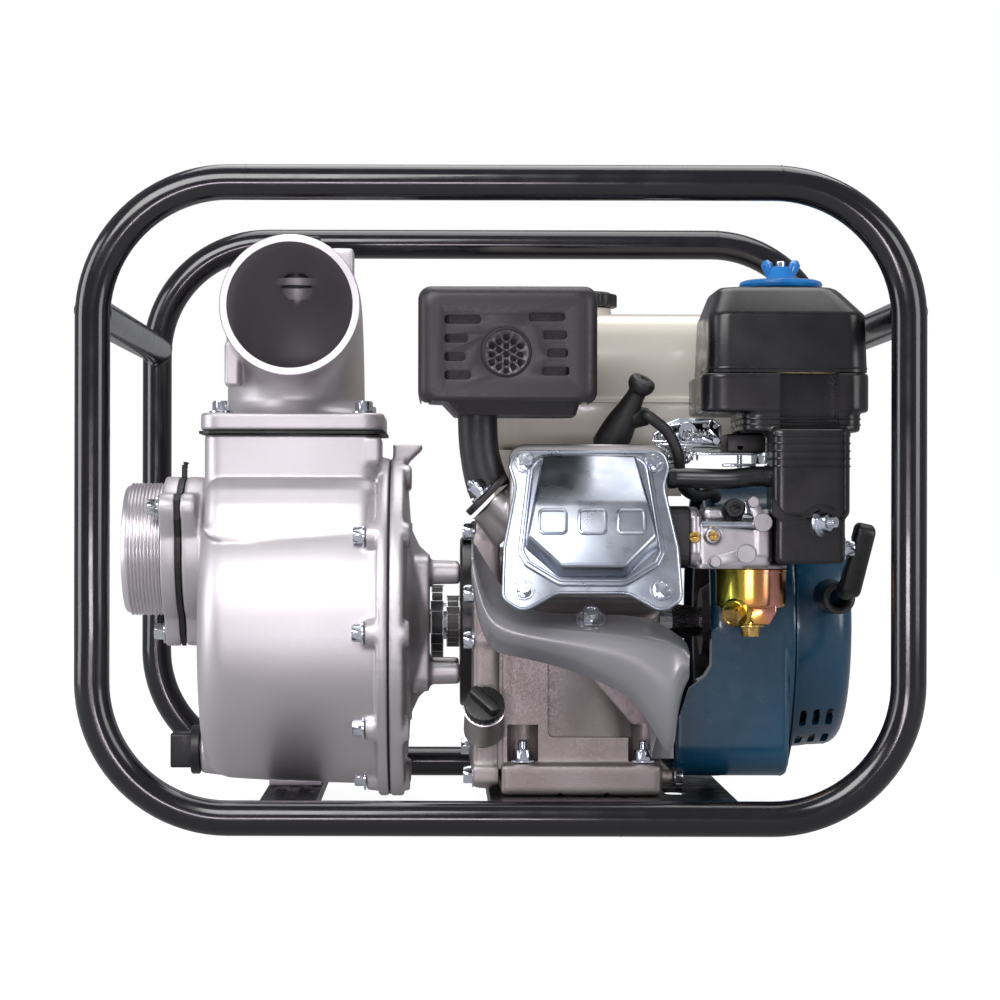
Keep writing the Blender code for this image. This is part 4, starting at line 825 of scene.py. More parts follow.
def make_casing():
    solids = [drum_solid(), flange_ring(-0.0755, -0.0681, FLANGE_R)]
    neck = rounded(rectangle(-0.188, -0.0745, PUMP_Y - 0.0568, PUMP_Y + 0.0568), 0.012)
    solids.append(prism("neck", neck, Matrix.Identity(4), 0.140, 0.2408, 0.0012))
    solids.append(slab("saddle", SADDLE, "X", -0.1870, -0.0745, 0.0120, 6))
    solids.append(slab("port", port_outline(), "X", -0.2033, -0.1935, 0.001))
    solids.append(
        rod("port_neck", (-0.196, PUMP_Y, SUCTION_Z), (-0.178, PUMP_Y, SUCTION_Z), 0.047, 0.050, 96)
    )
    solids.append(rod("drain_boss", (-0.1936, PUMP_Y, DRAIN_Z), (-0.172, PUMP_Y, DRAIN_Z), 0.0155, 0.018, 48))
    for turn in CASING_BOLTS:
        solids.append(rod("boss", rim_place(-0.083, turn), rim_place(-0.074, turn), 0.0078, 0.0086, 32))
    solids.append(
        block("neck_lug", (-0.085, PUMP_Y - 0.0572, 0.222), (-0.0735, PUMP_Y - 0.040, 0.2395), 0.002)
    )
    hollow = [(-0.184, 0), (-0.184, 0.070), (-0.170, 0.092), (-0.060, 0.095), (-0.060, 0)]
    cuts = [
        lathe("hollow", hollow, (0, PUMP_Y, DRUM_Z), X_AXIS, 64),
        block("neck_hollow", (-0.180, PUMP_Y - 0.050, 0.16), (-0.082, PUMP_Y + 0.050, 0.231), 0.006),
        rod("outlet", (-0.131, PUMP_Y, 0.21), (-0.131, PUMP_Y, 0.26), 0.046, steps=64, edge=0),
        rod("inlet", (-0.22, PUMP_Y, SUCTION_Z), (-0.17, PUMP_Y, SUCTION_Z), 0.0425, steps=64, edge=0),
        rod("drain", (-0.21, PUMP_Y, DRAIN_Z), (-0.16, PUMP_Y, DRAIN_Z), 0.0113, edge=0),
    ]
    casing = blended("casing_surface", solids, 0.0013, 7, cuts)
    show(casing, "cast_aluminium", "chassis", ["pump_casing"])
    foot = block("pump_foot", (-0.1475, PUMP_Y - 0.020, 0.0106), (-0.1131, PUMP_Y + 0.020, 0.0175), 0.001)
    show(merged("pump_foot", [foot]), "cast_aluminium", "chassis")


def make_back_cover():
    solids = [flange_ring(-0.0677, -0.0585, FLANGE_R)]
    bulge = [
        (-0.062, 0), (-0.062, 0.094), (-0.0565, 0.090), (-0.0545, 0.062), (-0.0490, 0.050),
        (-0.0445, 0.046), (-0.0445, 0)
    ]
    solids.append(lathe("bulge", bulge, CRANK, X_AXIS, 96))
    pad = rounded(rectangle(CRANK.y - 0.0445, CRANK.y + 0.0445, CRANK.z - 0.0445, CRANK.z + 0.0445), 0.010)
    solids.append(slab("pad", pad, "X", -0.055, -0.0421, 0.001))
    for turn in CASING_BOLTS:
        solids.append(rod("boss", rim_place(-0.060, turn), rim_place(-0.0545, turn), 0.0088, 0.0080, 32))
    top = FLANGE_Z + 0.112
    ear = [
        (-0.0665, top - 0.010), (-0.0665, top + 0.0085), (-0.0470, top + 0.0085), (-0.0470, top + 0.0055),
        (-0.0560, top - 0.003), (-0.0585, top - 0.010)
    ]
    solids.append(slab("ear", ear, "Y", PUMP_Y - 0.014, PUMP_Y + 0.014, 0.0006))
    ribs = []
    for side in (-1, 1):
        for up in (-1, 1):
            centre = CRANK + Vector((0, side * 0.0326, up * 0.0326))
            ribs.append(rod("pillar", centre - X_AXIS * 0.046, centre + X_AXIS * -0.0224, 0.0076, 0.0070, 40))
    cuts = [rod("shaft_bore", CRANK - X_AXIS * 0.08, CRANK - X_AXIS * 0.03, 0.0125, edge=0)]
    cover = blended("back_cover_surface", solids + ribs, 0.0013, 5, cuts)
    show(cover, "cast_aluminium", "chassis", ["back_cover"])
    gasket = [(-0.06785, 0.1095), (-0.06785, 0.1112), (-0.06805, 0.1112), (-0.06805, 0.1095)]
    show(
        lathe("casing_joint", gasket, (0, PUMP_Y, FLANGE_Z), X_AXIS, 96, closed=True), "dark_inside",
        "chassis"
    )
    places = []
    for turn in CASING_BOLTS:
        places.append(
            dict(place=rim_place(-0.0832, turn), direction=-X_AXIS, across_flats=0.010, height=0.0062)
        )
    bolts("casing_bolts", places)


PORT_TURNS = [math.radians(turn) for turn in (-90, 30, 150)]


def make_suction():
    profile = [(-0.2075, 0.0365), (-0.2075, 0.0450), (-0.2150, 0.0450), (-0.2165, 0.0425)]
    pitch, root, crest = 0.00231, 0.0424, 0.04393
    x = -0.2170
    while x - pitch > -0.2418:
        profile += [(x, root), (x - pitch * 0.42, crest), (x - pitch * 0.58, crest), (x - pitch, root)]
        x -= pitch
    profile += [(-0.2420, 0.0418), (-0.2429, 0.0408), (-0.2429, 0.0384), (-0.2420, 0.0377), (-0.2075, 0.0365)]
    stub = lathe("suction_stub", list(reversed(profile)), (0, PUMP_Y, SUCTION_Z), X_AXIS, 120)
    coat(stub, "machined_aluminium")
    flange = slab("suction_flange", port_outline(), "X", -0.2169, -0.2071, 0.0012, 3)
    carve(
        flange,
        [rod("bore", (-0.23, PUMP_Y, SUCTION_Z), (-0.20, PUMP_Y, SUCTION_Z), 0.0372, steps=96, edge=0)]
    )
    coat(flange, "cast_aluminium")
    show(merged("suction_surface", [stub, flange]), None, "chassis", ["suction_coupling"])
    places = []
    for turn in PORT_TURNS:
        spot = Vector(
            (-0.2172, PUMP_Y + PORT_BOLT_AT * math.cos(turn), SUCTION_Z + PORT_BOLT_AT * math.sin(turn))
        )
        places.append(dict(place=spot, direction=-X_AXIS, across_flats=0.010, height=0.0065))
    bolts("suction_bolts", places)
    repaint("valve_gasket", "black_rubber")
    repaint("check_valve_flap", "black_rubber")
    tab_path = smooth_path(
        [(-0.2052, PUMP_Y, 0.2135), (-0.2050, PUMP_Y, 0.219), (-0.2043, PUMP_Y + 0.001, 0.2235)], 5
    )
    radii = [0.0016 + 0.0005 * math.sin(2.1 * index) for index in range(len(tab_path))]
    show(sweep("gasket_tab", tab_path, 0.002, 10, radii=radii), "black_rubber", "chassis")


def make_drain_plug():
    rim = [
        (-0.1941, 0), (-0.1941, 0.0155), (-0.1948, 0.0162), (-0.1992, 0.0162), (-0.2000, 0.0154),
        (-0.2000, 0)
    ]
    body = lathe("drain_rim", rim, (0, PUMP_Y, DRAIN_Z), X_AXIS, 72)
    knob = rounded(rectangle(PUMP_Y - 0.0113, PUMP_Y + 0.0113, DRAIN_Z - 0.0113, DRAIN_Z + 0.0113), 0.002)
    head = slab("drain_head", knob, "X", -0.2133, -0.1995, 0.0010, 3)
    pocket = slab(
        "pocket",
        rounded(rectangle(PUMP_Y - 0.0083, PUMP_Y + 0.0083, DRAIN_Z - 0.0083, DRAIN_Z + 0.0083), 0.0015),
        "X", -0.2150, -0.2065, 0
    )
    carve(head, [pocket])
    stem = lathe(
        "drain_stem", [(-0.1945, 0), (-0.1945, 0.0108), (-0.179, 0.0108), (-0.179, 0)],
        (0, PUMP_Y, DRAIN_Z), X_AXIS, 48
    )
    show(
        merged("drain_plug_surface", [body, head, stem]), "black_plastic", "drain_cap",
        ["drain_plug"]
    )


# Discharge elbow
ELBOW_X = -0.131
MOUTH_Y, MOUTH_Z = -0.065, 0.322
BEND_R = 0.060
BORE_R = 0.040


def elbow_line(below, beyond, turns=26):
    turn_z = MOUTH_Z - BEND_R
    points = [Vector((ELBOW_X, PUMP_Y, below))]
    for step in range(turns + 1):
        turn = math.pi / 2 * step / turns
        points.append(
            Vector((ELBOW_X, PUMP_Y - BEND_R * (1 - math.cos(turn)), turn_z + BEND_R * math.sin(turn)))
        )
    points.append(Vector((ELBOW_X, MOUTH_Y - beyond, MOUTH_Z)))
    return points


def make_elbow():
    flange_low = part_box("discharge_elbow")[0].z
    flange = rounded(rectangle(ELBOW_X - 0.0594, ELBOW_X + 0.0594, PUMP_Y - 0.0594, PUMP_Y + 0.0594), 0.013)
    line = elbow_line(flange_low + 0.004, -0.0010)
    radii = [0.0455 - 0.0010 * index / len(line) for index in range(len(line))]
    solids = [
        prism("elbow_flange", flange, Matrix.Identity(4), flange_low, flange_low + 0.0114, 0.0014, 4),
        sweep("elbow_bend", line, 0.0448, sides=96, radii=radii),
        rod("priming_boss", (ELBOW_X, PUMP_Y, 0.325), (ELBOW_X, PUMP_Y, 0.3618), 0.0190, 0.0165, 48),
        block("lug_left", (ELBOW_X - 0.0440, -0.030, 0.272), (ELBOW_X - 0.0340, -0.012, 0.301), 0.0015),
        block("lug_right", (ELBOW_X + 0.0180, 0.002, 0.338), (ELBOW_X + 0.0385, 0.022, 0.3645), 0.002),
        rod(
            "rim", (ELBOW_X, MOUTH_Y + 0.0010, MOUTH_Z), (ELBOW_X, MOUTH_Y + 0.012, MOUTH_Z), 0.0446,
            0.0444, 96
        ),
    ]
    neck_ring = [
        (flange_low + 0.010, 0), (flange_low + 0.010, 0.0525), (flange_low + 0.0150, 0.0475),
        (flange_low + 0.020, 0.0455), (flange_low + 0.020, 0)
    ]
    solids.append(lathe("neck_fillet", neck_ring, (ELBOW_X, PUMP_Y, 0), Z_AXIS, 96))
    bore = sweep("bore", elbow_line(flange_low - 0.02, 0.02), BORE_R, sides=80)
    cuts = [bore, rod("priming_bore", (ELBOW_X, PUMP_Y, 0.31), (ELBOW_X, PUMP_Y, 0.38), 0.0108, edge=0)]
    elbow = blended("elbow_surface", solids, 0.0012, 6, cuts)
    show(elbow, "cast_aluminium", "chassis", ["discharge_elbow"])
    ring = [(-0.0002, 0.0401), (-0.0002, 0.0441), (0.0006, 0.0446), (0.0016, 0.0447), (0.0016, 0.0401)]
    lip = lathe("mouth_lip", ring, (ELBOW_X, MOUTH_Y + 0.0002, MOUTH_Z), Y_AXIS, 120, closed=True)
    show(lip, "machined_aluminium", "chassis")
    inner_boss = [(0.3405, 0.0112), (0.3405, 0.0150), (0.3450, 0.0168), (0.3450, 0.0112)]
    show(
        lathe("boss_inside", inner_boss, (ELBOW_X, PUMP_Y, 0), Z_AXIS, 48, closed=True), "cast_aluminium",
        "chassis"
    )
    places = []
    for side in (-1, 1):
        for away in (-1, 1):
            spot = (ELBOW_X + side * 0.0462, PUMP_Y + away * 0.0462, flange_low + 0.0114)
            places.append(dict(place=spot, direction=Z_AXIS, across_flats=0.010, height=0.0066))
    bolts("elbow_bolts", places)
    repaint("outlet_gasket", "black_rubber")


def make_priming_plug():
    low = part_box("priming_plug")[0]
    base = 0.3623
    profile = [
        (low.z, 0), (low.z, 0.0100), (base, 0.0104), (base, 0.0175), (base + 0.0008, 0.0184),
        (0.3660, 0.0184), (0.3668, 0.0174), (0.3668, 0)
    ]
    body = lathe("plug_body", profile, (ELBOW_X, PUMP_Y, 0), Z_AXIS, 72)
    bar = block(
        "plug_bar", (ELBOW_X - 0.0158, PUMP_Y - 0.0038, 0.366), (ELBOW_X + 0.0158, PUMP_Y + 0.0038, 0.3739),
        0.0016
    )
    show(
        merged("priming_plug_surface", [body, bar]), "black_plastic", "priming_cap",
        ["priming_plug"]
    )


def make_shaft_parts():
    repaint("crankshaft", "steel")
    repaint("flywheel", "cast_iron")
    repaint("impeller", "cast_iron")
    repaint("volute", "cast_iron")
    repaint("mechanical_seal", "black_rubber")
    rings = [
        (-0.0413, 0.0125), (-0.0413, 0.0225), (-0.0405, 0.0240), (-0.0338, 0.0240), (-0.0330, 0.0232),
        (-0.0330, 0.0125)
    ]
    show(lathe("slinger", rings, CRANK, X_AXIS, 64, closed=True), "black_rubber", "crank")
    collar = [
        (-0.0310, 0.0122), (-0.0310, 0.0163), (-0.0303, 0.0170), (-0.0232, 0.0170), (-0.0226, 0.0164),
        (-0.0226, 0.0122)
    ]
    show(lathe("shaft_collar", collar, CRANK, X_AXIS, 64, closed=True), "cast_iron", "crank")


# Engine castings
LEAN = math.radians(25)
LEAN_OUT = Vector((0, -math.cos(LEAN), math.sin(LEAN)))
LEAN_UP = Vector((0, math.sin(LEAN), math.cos(LEAN)))
HEAD_START = 0.1183
COVER_SEAT = 0.1778


def leaning(x, up, out):
    """A place given by X, its height above the cylinder's axis and its distance from the crank."""
    return CRANK + X_AXIS * (x - CRANK.x) + LEAN_UP * up + LEAN_OUT * out


def leaning_frame(out):
    turn = Matrix((X_AXIS, LEAN_UP, LEAN_OUT)).transposed().to_4x4()
    return Matrix.Translation(leaning(0, 0, out)) @ turn


def leaning_prism(name, outline, start, end, edge=0.001, edge_steps=3):
    return prism(name, outline, leaning_frame(0), start, end, edge, edge_steps)


def softened(node, width=0.0006, segments=2):
    """Rounds the edges of a part that is shown with its own surface."""
    bevel = nodes[node].modifiers.new("Edges", "BEVEL")
    bevel.width = width
    bevel.segments = segments
    bevel.limit_method = "ANGLE"
    bevel.angle_limit = math.radians(35)
    bevel.harden_normals = False


def make_crankcase():
    base = block("base", (0.0030, -0.0880, 0.0140), (0.1028, 0.0998, 0.0335), 0.0022)
    walls = rounded(
        [(-0.0820, 0.028), (0.0940, 0.028), (0.0940, 0.1675), (-0.060, 0.1675), (-0.0820, 0.130)],
        [0.002, 0.008, 0.036, 0.028, 0.020],
        8,
    )
    barrel = rounded(rectangle(0.010, 0.1025, -0.042, 0.042), 0.010)
    solids = [
        base,
        slab("walls", walls, "X", 0.0085, 0.1028, 0.003, 3),
        slab("joint_rim", walls, "X", 0.0026, 0.0100, 0.0008),
        leaning_prism("barrel", barrel, 0.055, 0.1178),
        rod("stay", (0.1020, -0.0780, 0.0250), (0.1108, -0.0780, 0.0250), 0.0050),
    ]
    for side in (0.0165, 0.0922):
        solids.append(rod("nut_pad", (side, -0.0800, 0.0330), (side, -0.0800, 0.0345), 0.0080))
        solids.append(rod("nut_pad", (side, 0.0890, 0.0330), (side, 0.0890, 0.0345), 0.0088))
    for level in range(5):
        start = 0.0720 + 0.0090 * level
        fin = rounded(rectangle(0.006, 0.1028, -0.0470, 0.0465), 0.012)
        solids.append(leaning_prism("fin", fin, start, start + 0.0028, 0.0006, 1))
    room = rounded(
        [(-0.068, 0.030), (0.086, 0.030), (0.086, 0.1635), (-0.050, 0.1635), (-0.068, 0.126)], 0.020, 5
    )
    cuts = [
        slab("recess", rounded(rectangle(0.0320, 0.0955, 0.0500, 0.1200), 0.004), "Y", -0.095, -0.0745, 0),
        slab("room", room, "X", -0.01, 0.095, 0),
        rod("bore", leaning(0.055, 0, 0.03), leaning(0.055, 0, 0.13), 0.034, steps=64, edge=0),
        rod("main_bore", (0.09, CRANK.y, CRANK.z), (0.11, CRANK.y, CRANK.z), 0.013, steps=48, edge=0),
    ]
    for x in (0.0165, 0.0922):
        cuts.append(rod("nut_room", (x, -0.0805, 0.0350), (x, -0.0805, 0.0580), 0.0098, steps=40, edge=0))
    for x in (0.0397, 0.0689):
        cuts.append(rod("notch", (x, -0.092, 0.0138), (x, -0.070, 0.0138), 0.0022, steps=16, edge=0))
    body = blended("crankcase_surface", solids, 0.0014, 5, cuts)
    show(body, "engine_casting", "chassis", ["crankcase"])
    places = []
    for x in (0.0165, 0.0922):
        for y in (-0.0800, 0.0890):
            places.append(
                dict(place=(x, y, 0.0345), direction=Z_AXIS, across_flats=0.0105, height=0.0065, stud=0.006)
            )
    places.append(dict(place=(0.1112, -0.0780, 0.0250), direction=X_AXIS, across_flats=0.0085, height=0.0045))
    bolts("base_bolts", places)


FILLER = Vector((-0.008, -0.112, 0.0735))
FILLER_OUT = Vector((0, -math.cos(math.radians(35)), math.sin(math.radians(35))))
SIDE_BOLTS = ((-0.0790, 0.1795), (-0.0790, 0.1397), (-0.0785, 0.1105), (-0.0740, 0.0258), (0.0840, 0.0300),
              (0.0870, 0.1000), (0.0840, 0.1560), (0.0050, 0.1770))


def make_side_cover():
    corners = [(-0.083, 0.018), (0.095, 0.018), (0.095, 0.169), (-0.050, 0.189), (-0.089, 0.184)]
    solids = [
        slab("side_wall", rounded(corners, 0.014, 8), "X", -0.0150, 0.0020, 0.0040, 4),
        rod("filler_neck", FILLER - FILLER_OUT * 0.034, FILLER - FILLER_OUT * 0.0075, 0.0127, 0.0122, 48),
        slab(
            "low_rib", rounded(rectangle(-0.0860, -0.0600, 0.0200, 0.0330), 0.003), "X", -0.0150, 0.0015,
            0.001
        ),
    ]
    for y, z in SIDE_BOLTS:
        solids.append(rod("boss", (-0.0138, y, z), (-0.0030, y, z), 0.0080, 0.0090))
    room = rounded([(-0.070, 0.030), (0.086, 0.030), (0.086, 0.158), (-0.066, 0.158)], 0.020, 5)
    cuts = [
        slab("room", room, "X", -0.0060, 0.0100, 0),
        rod("bore", (-0.03, CRANK.y, CRANK.z), (0.01, CRANK.y, CRANK.z), 0.013, steps=48, edge=0),
        rod("filler_bore", FILLER - FILLER_OUT * 0.042, FILLER, 0.0086, steps=32, edge=0),
    ]
    body = blended("side_cover_surface", solids, 0.0013, 5, cuts)
    show(body, "engine_casting", "chassis", ["side_cover"])
    # Painted shade: this ring on the side cover's face is given near-black sheet paint to stand in for the shade
    # that falls on that face.
    ring = [(-0.0220, 0.0135), (-0.0220, 0.0545), (-0.0208, 0.0560), (-0.0140, 0.0560), (-0.0140, 0.0135)]
    show(lathe("pump_seat_painted_shade", ring, CRANK, X_AXIS, 96, closed=True), "black_sheet", "chassis")
    rim = [(-0.0078, 0.0086), (-0.0078, 0.0126), (-0.0066, 0.0130), (-0.0062, 0.0124), (-0.0062, 0.0086)]
    show(
        lathe("filler_rim", rim, FILLER, FILLER_OUT, 48, closed=True), "machined_aluminium", "chassis",
    )
    seam = rounded(
        [(-0.0832, 0.0285), (0.0952, 0.0285), (0.0952, 0.1687), (-0.060, 0.1687), (-0.0832, 0.131)],
        [0.002, 0.008, 0.036, 0.028, 0.020], 8
    )
    seam = shrunk(seam, 0.0012)
    show(slab("case_joint", seam, "X", 0.0012, 0.0036, 0), "engine_casting", "chassis")
    places = [
        dict(place=(-0.0138, y, z), direction=-X_AXIS, across_flats=0.0100, height=0.0055)
        for y, z in SIDE_BOLTS
    ]
    bolts("side_cover_bolts", places)


def make_dipstick():
    """The filler's cap: a ribbed disc with a bar to turn it by, and the dipstick below."""
    outline = []
    for step in range(96):
        turn = math.tau * step / 96
        reach = 0.0123 + 0.0002 * math.cos(24 * turn)
        outline.append((reach * math.cos(turn), reach * math.sin(turn)))
    place = frame_along(FILLER, FILLER_OUT)
    bar_run = Vector((0.7, 0.3, 0.6)).cross(FILLER_OUT).normalized()
    bar_place = frame_along(FILLER, FILLER_OUT, bar_run)
    bar = rounded(rectangle(-0.0112, 0.0112, -0.0036, 0.0036), 0.0030)
    made = [
        prism("cap_disc", outline, place, -0.0060, 0.0, 0.0008),
        prism("cap_bar", bar, bar_place, -0.0004, 0.0062, 0.0012),
        rod("cap_thread", FILLER - FILLER_OUT * 0.0260, FILLER - FILLER_OUT * 0.0060, 0.0080),
        rod("dipstick", FILLER - FILLER_OUT * 0.0400, FILLER - FILLER_OUT * 0.0250, 0.0033),
    ]
    show(merged("dipstick_surface", made), "black_plastic", "dipstick", ["oil_dipstick"])


def make_head():
    main = rounded(rectangle(0.008, 0.1022, -0.0430, 0.0430), 0.012)
    flange = rounded(rectangle(0.0065, 0.1028, -0.0438, 0.0438), 0.009)
    low = Vector((0.0130, -0.1120, 0.1830))
    high = Vector((-0.0030, -0.1120, 0.1990))
    solids = [
        leaning_prism("head", main, HEAD_START, 0.1776, 0.002),
        leaning_prism("head_seat", flange, 0.1720, 0.1776, 0.001),
        leaning_prism("head_foot", flange, HEAD_START, 0.1260, 0.001),
        rod("exhaust_boss", low, high, 0.0200, 0.0170, 48),
        rod("exhaust_ear", low + Vector((0, -0.016, 0)), high + Vector((0, -0.0135, 0)), 0.0080, 0.0075),
        rod("intake_boss", (0.0950, -0.110, 0.176), (0.1029, -0.110, 0.176), 0.0210),
    ]
    for level in range(4):
        start = 0.1330 + 0.0090 * level
        fin = rounded(rectangle(0.0072, 0.1028, -0.0446, 0.0442), 0.010)
        solids.append(leaning_prism("fin", fin, start, start + 0.0026, 0.0006, 1))
    plug_foot = leaning(0.064, 0.044, 0.150)
    plug_out = (Vector((0.091, -0.120, 0.276)) - plug_foot).normalized()
    cuts = [
        rod("chamber", leaning(0.055, 0, 0.10), leaning(0.055, 0, 0.128), 0.030, steps=48, edge=0),
        rod("plug_bore", plug_foot - plug_out * 0.012, plug_foot + plug_out * 0.02, 0.0073, edge=0),
        rod("plug_seat", plug_foot + plug_out * 0.0015, plug_foot + plug_out * 0.045, 0.0115, edge=0),
        rod("intake", (0.085, -0.110, 0.176), (0.12, -0.110, 0.176), 0.0105, edge=0),
    ]
    body = blended("head_surface", solids, 0.0013, 5, cuts)
    show(body, "head_casting", "chassis", ["cylinder_head"])


# Valve cover: (X, height above the cylinder's axis) in the leaning plane
COVER_FLANGE = (
    (0.0340, -0.0575), (0.0140, -0.0700), (0.0010, -0.0610), (0.0022, -0.0270), (0.0095, 0.0140),
    (0.0058, 0.0270), (0.0090, 0.0380)
)
COVER_BEAD = ((0.0350, -0.0525), (0.0150, -0.0395), (0.0108, -0.0310), (0.0185, 0.0345))
COVER_FOOT = ((0.0352, -0.0480), (0.0148, -0.0285), (0.0190, -0.0050), (0.0265, 0.0335))
COVER_FACE = ((0.0358, -0.0463), (0.0165, -0.0262), (0.0205, -0.0050), (0.0283, 0.0315))
COVER_MIDDLE = 0.0552
COVER_BOLTS = ((0.0140, -0.0545), (0.0966, -0.0545), (0.0942, 0.0300), (0.0162, 0.0294))


def both_sides(half, shift=0.0):
    """An outline from its left half, mirrored about the cover's middle."""
    right = [(2 * COVER_MIDDLE - x, up) for x, up in reversed(half)]
    return [(x, up + shift) for x, up in [*half, *right]]


# Left and right X of the three raised rectangles on the valve cover's face
COVER_FRAMES = ((0.0238, 0.0396), (0.0474, 0.0632), (0.0708, 0.0866))


def make_valve_cover():
    radii = [0.012, 0.010, 0.009, 0.014, 0.020, 0.006, 0.007]
    outline = rounded(both_sides(COVER_FLANGE), [*radii, *reversed(radii)], 8)
    seat = COVER_SEAT + 0.0016
    made = [leaning_prism("cover_flange", outline, COVER_SEAT, seat, 0.0006)]
    rim_path = [leaning(x, up, seat - 0.0002) for x, up in shrunk(outline, 0.0011)]
    made.append(sweep("cover_rim", rim_path, 0.0010, 10, closed=True))
    bead_outline = rounded(
        both_sides(COVER_BEAD), [0.012, 0.006, 0.008, 0.012, 0.012, 0.008, 0.006, 0.012], 6
    )
    made.append(leaning_prism("cover_step", bead_outline, seat - 0.0005, seat + 0.0022, 0.0010))
    inner_bead = [leaning(x, up, seat + 0.0020) for x, up in shrunk(bead_outline, 0.0030)]
    made.append(sweep("cover_bead", inner_bead, 0.0012, 10, closed=True))
    dome_top = 0.1955
    foot = [leaning(x, up, seat) for x, up in both_sides(COVER_FOOT)]
    face = [leaning(x, up, dome_top) for x, up in both_sides(COVER_FACE)]
    bm = bmesh.new()
    rings = [[bm.verts.new(place) for place in ring] for ring in (foot, face)]
    count = len(foot)
    for index in range(count):
        following = (index + 1) % count
        bm.faces.new((rings[0][index], rings[0][following], rings[1][following], rings[1][index]))
    bm.faces.new(rings[0])
    bm.faces.new(rings[1])
    ridge = leaning(COVER_MIDDLE, -0.0050, dome_top)
    top = leaning(COVER_MIDDLE, 0.0320, seat + 0.0045)
    slope = X_AXIS.cross(top - ridge).normalized()
    geometry = bm.verts[:] + bm.edges[:] + bm.faces[:]
    cut_made = bmesh.ops.bisect_plane(bm, geom=geometry, plane_co=ridge, plane_no=slope, clear_outer=True)
    bmesh.ops.contextual_create(
        bm, geom=[item for item in cut_made["geom_cut"] if isinstance(item, bmesh.types.BMEdge)]
    )
    bmesh.ops.remove_doubles(bm, verts=bm.verts, dist=0.0001)
    bmesh.ops.recalc_face_normals(bm, faces=bm.faces)
    sharp = [edge for edge in bm.edges if len(edge.link_faces) == 2 and edge.calc_face_angle() > 0.15]
    sharp = [edge for edge in sharp if max((v.co - CRANK).dot(LEAN_OUT) for v in edge.verts) > seat + 0.002]
    bmesh.ops.bevel(bm, geom=sharp, offset=0.0024, segments=4, profile=0.5, affect="EDGES")
    made.append(from_bmesh("cover_dome", bm))
    for low_x, high_x in COVER_FRAMES:
        frame_outline = rounded(rectangle(low_x, high_x, -0.0250, -0.0098), 0.0025, 4)
        path = [leaning(x, up, dome_top) for x, up in frame_outline]
        made.append(sweep("cover_rib", path, 0.0011, 8, closed=True))
    show(merged("valve_cover_surface", made), "zinc_sheet", "chassis", ["valve_cover"])
    places = []
    for x, up in COVER_BOLTS:
        places.append(
            dict(place=leaning(x, up, seat), direction=LEAN_OUT, across_flats=0.0088, height=0.0045)
        )
    bolts("cover_bolts", places)


def shrunk(outline, amount):
    """An outline moved inward by a constant amount."""
    sign = 1 if signed_area(outline) > 0 else -1
    moved = []
    for index, point in enumerate(outline):
        run = Vector(outline[(index + 1) % len(outline)]) - Vector(outline[index - 1])
        side = Vector((-run.y, run.x)).normalized() * sign
        moved.append((point[0] + side.x * amount, point[1] + side.y * amount))
    return moved


# Sheet shroud under the cylinder: at each X, the heights of its top edge, its fold and its lower edge
SHROUD = (
    (-0.0160, 0.1735, 0.1640, 0.1500), (-0.0120, 0.1665, 0.1480, 0.1260), (-0.0060, 0.1570, 0.1340, 0.1085),
    (0.0030, 0.1430, 0.1270, 0.1050), (0.0135, 0.1325, 0.1235, 0.1035), (0.0280, 0.1290, 0.1210, 0.1000),
    (0.0450, 0.1280, 0.1195, 0.0955), (0.0620, 0.1280, 0.1180, 0.0886), (0.0750, 0.1280, 0.1165, 0.0820),
    (0.0840, 0.1270, 0.1150, 0.0750), (0.0935, 0.1250, 0.1135, 0.0610), (0.1010, 0.1215, 0.1120, 0.0465),
    (0.1060, 0.1180, 0.1105, 0.0440), (0.1080, 0.1165, 0.1095, 0.0700), (0.1120, 0.1140, 0.1075, 0.0860),
    (0.1150, 0.1100, 0.1040, 0.0900),
)


def make_lower_shroud():
    bm = bmesh.new()
    columns = []
    for x, top, fold, low in SHROUD:
        start = Vector((x, -0.1260, top))
        knee = Vector((x, -0.1430, fold))
        middle = Vector((x, -0.1440, fold - (fold - low) * 0.45))
        end = Vector((x, -0.1360, low))
        path = [start, start.lerp(knee, 0.45), start.lerp(knee, 0.93) + Vector((0, -0.0002, 0.0004))]
        path += [
            knee.lerp(middle, 0.05), knee.lerp(middle, 0.5), middle,
            middle.lerp(end, 0.55) - Y_AXIS * 0.0008, end
        ]
        columns.append([bm.verts.new(point) for point in path])
    for left, right in zip(columns, columns[1:]):
        for row in range(len(left) - 1):
            bm.faces.new((left[row], right[row], right[row + 1], left[row + 1]))
    sheet = from_bmesh("shroud_sheet", bm)
    smooth = sheet.modifiers.new("Smooth", "SUBSURF")
    smooth.levels = 2
    smooth.render_levels = 2
    thick = sheet.modifiers.new("Thickness", "SOLIDIFY")
    thick.thickness = 0.0014
    thick.offset = 0
    applied(sheet)
    sheet.data.shade_smooth()
    sheet.data.set_sharp_from_angle(angle=math.radians(40))
    skirt = [
        (-0.1345, 0.1100), (-0.0930, 0.0900), (-0.0930, 0.0380), (-0.0915, 0.0380), (-0.0915, 0.0912),
        (-0.1340, 0.1125)
    ]
    back = slab("shroud_back", skirt, "X", 0.0600, 0.1100, 0)
    carve(back, [rod("arc", (0.030, -0.16, 0.040), (0.030, -0.06, 0.040), 0.0660, steps=96, edge=0)])
    tab = rounded(rectangle(0.0470, 0.0650, -0.006, 0.007), 0.005)
    direction = Vector((0, -0.62, 0.78))
    tab_place = frame_along((0.0, -0.1330, 0.1258), direction, X_AXIS)
    tab_piece = prism("tab", tab, tab_place, -0.0004, 0.0010, 0.0003)
    show(
        merged("lower_shroud_surface", [sheet, back, tab_piece]), "grey_paint", "chassis",
        ["lower_shroud"]
    )
    spot = tab_place @ Vector((0.0560, 0.0, 0.0010))
    bolts("shroud_bolt", [dict(place=spot, direction=direction, across_flats=0.0095, height=0.0055)])


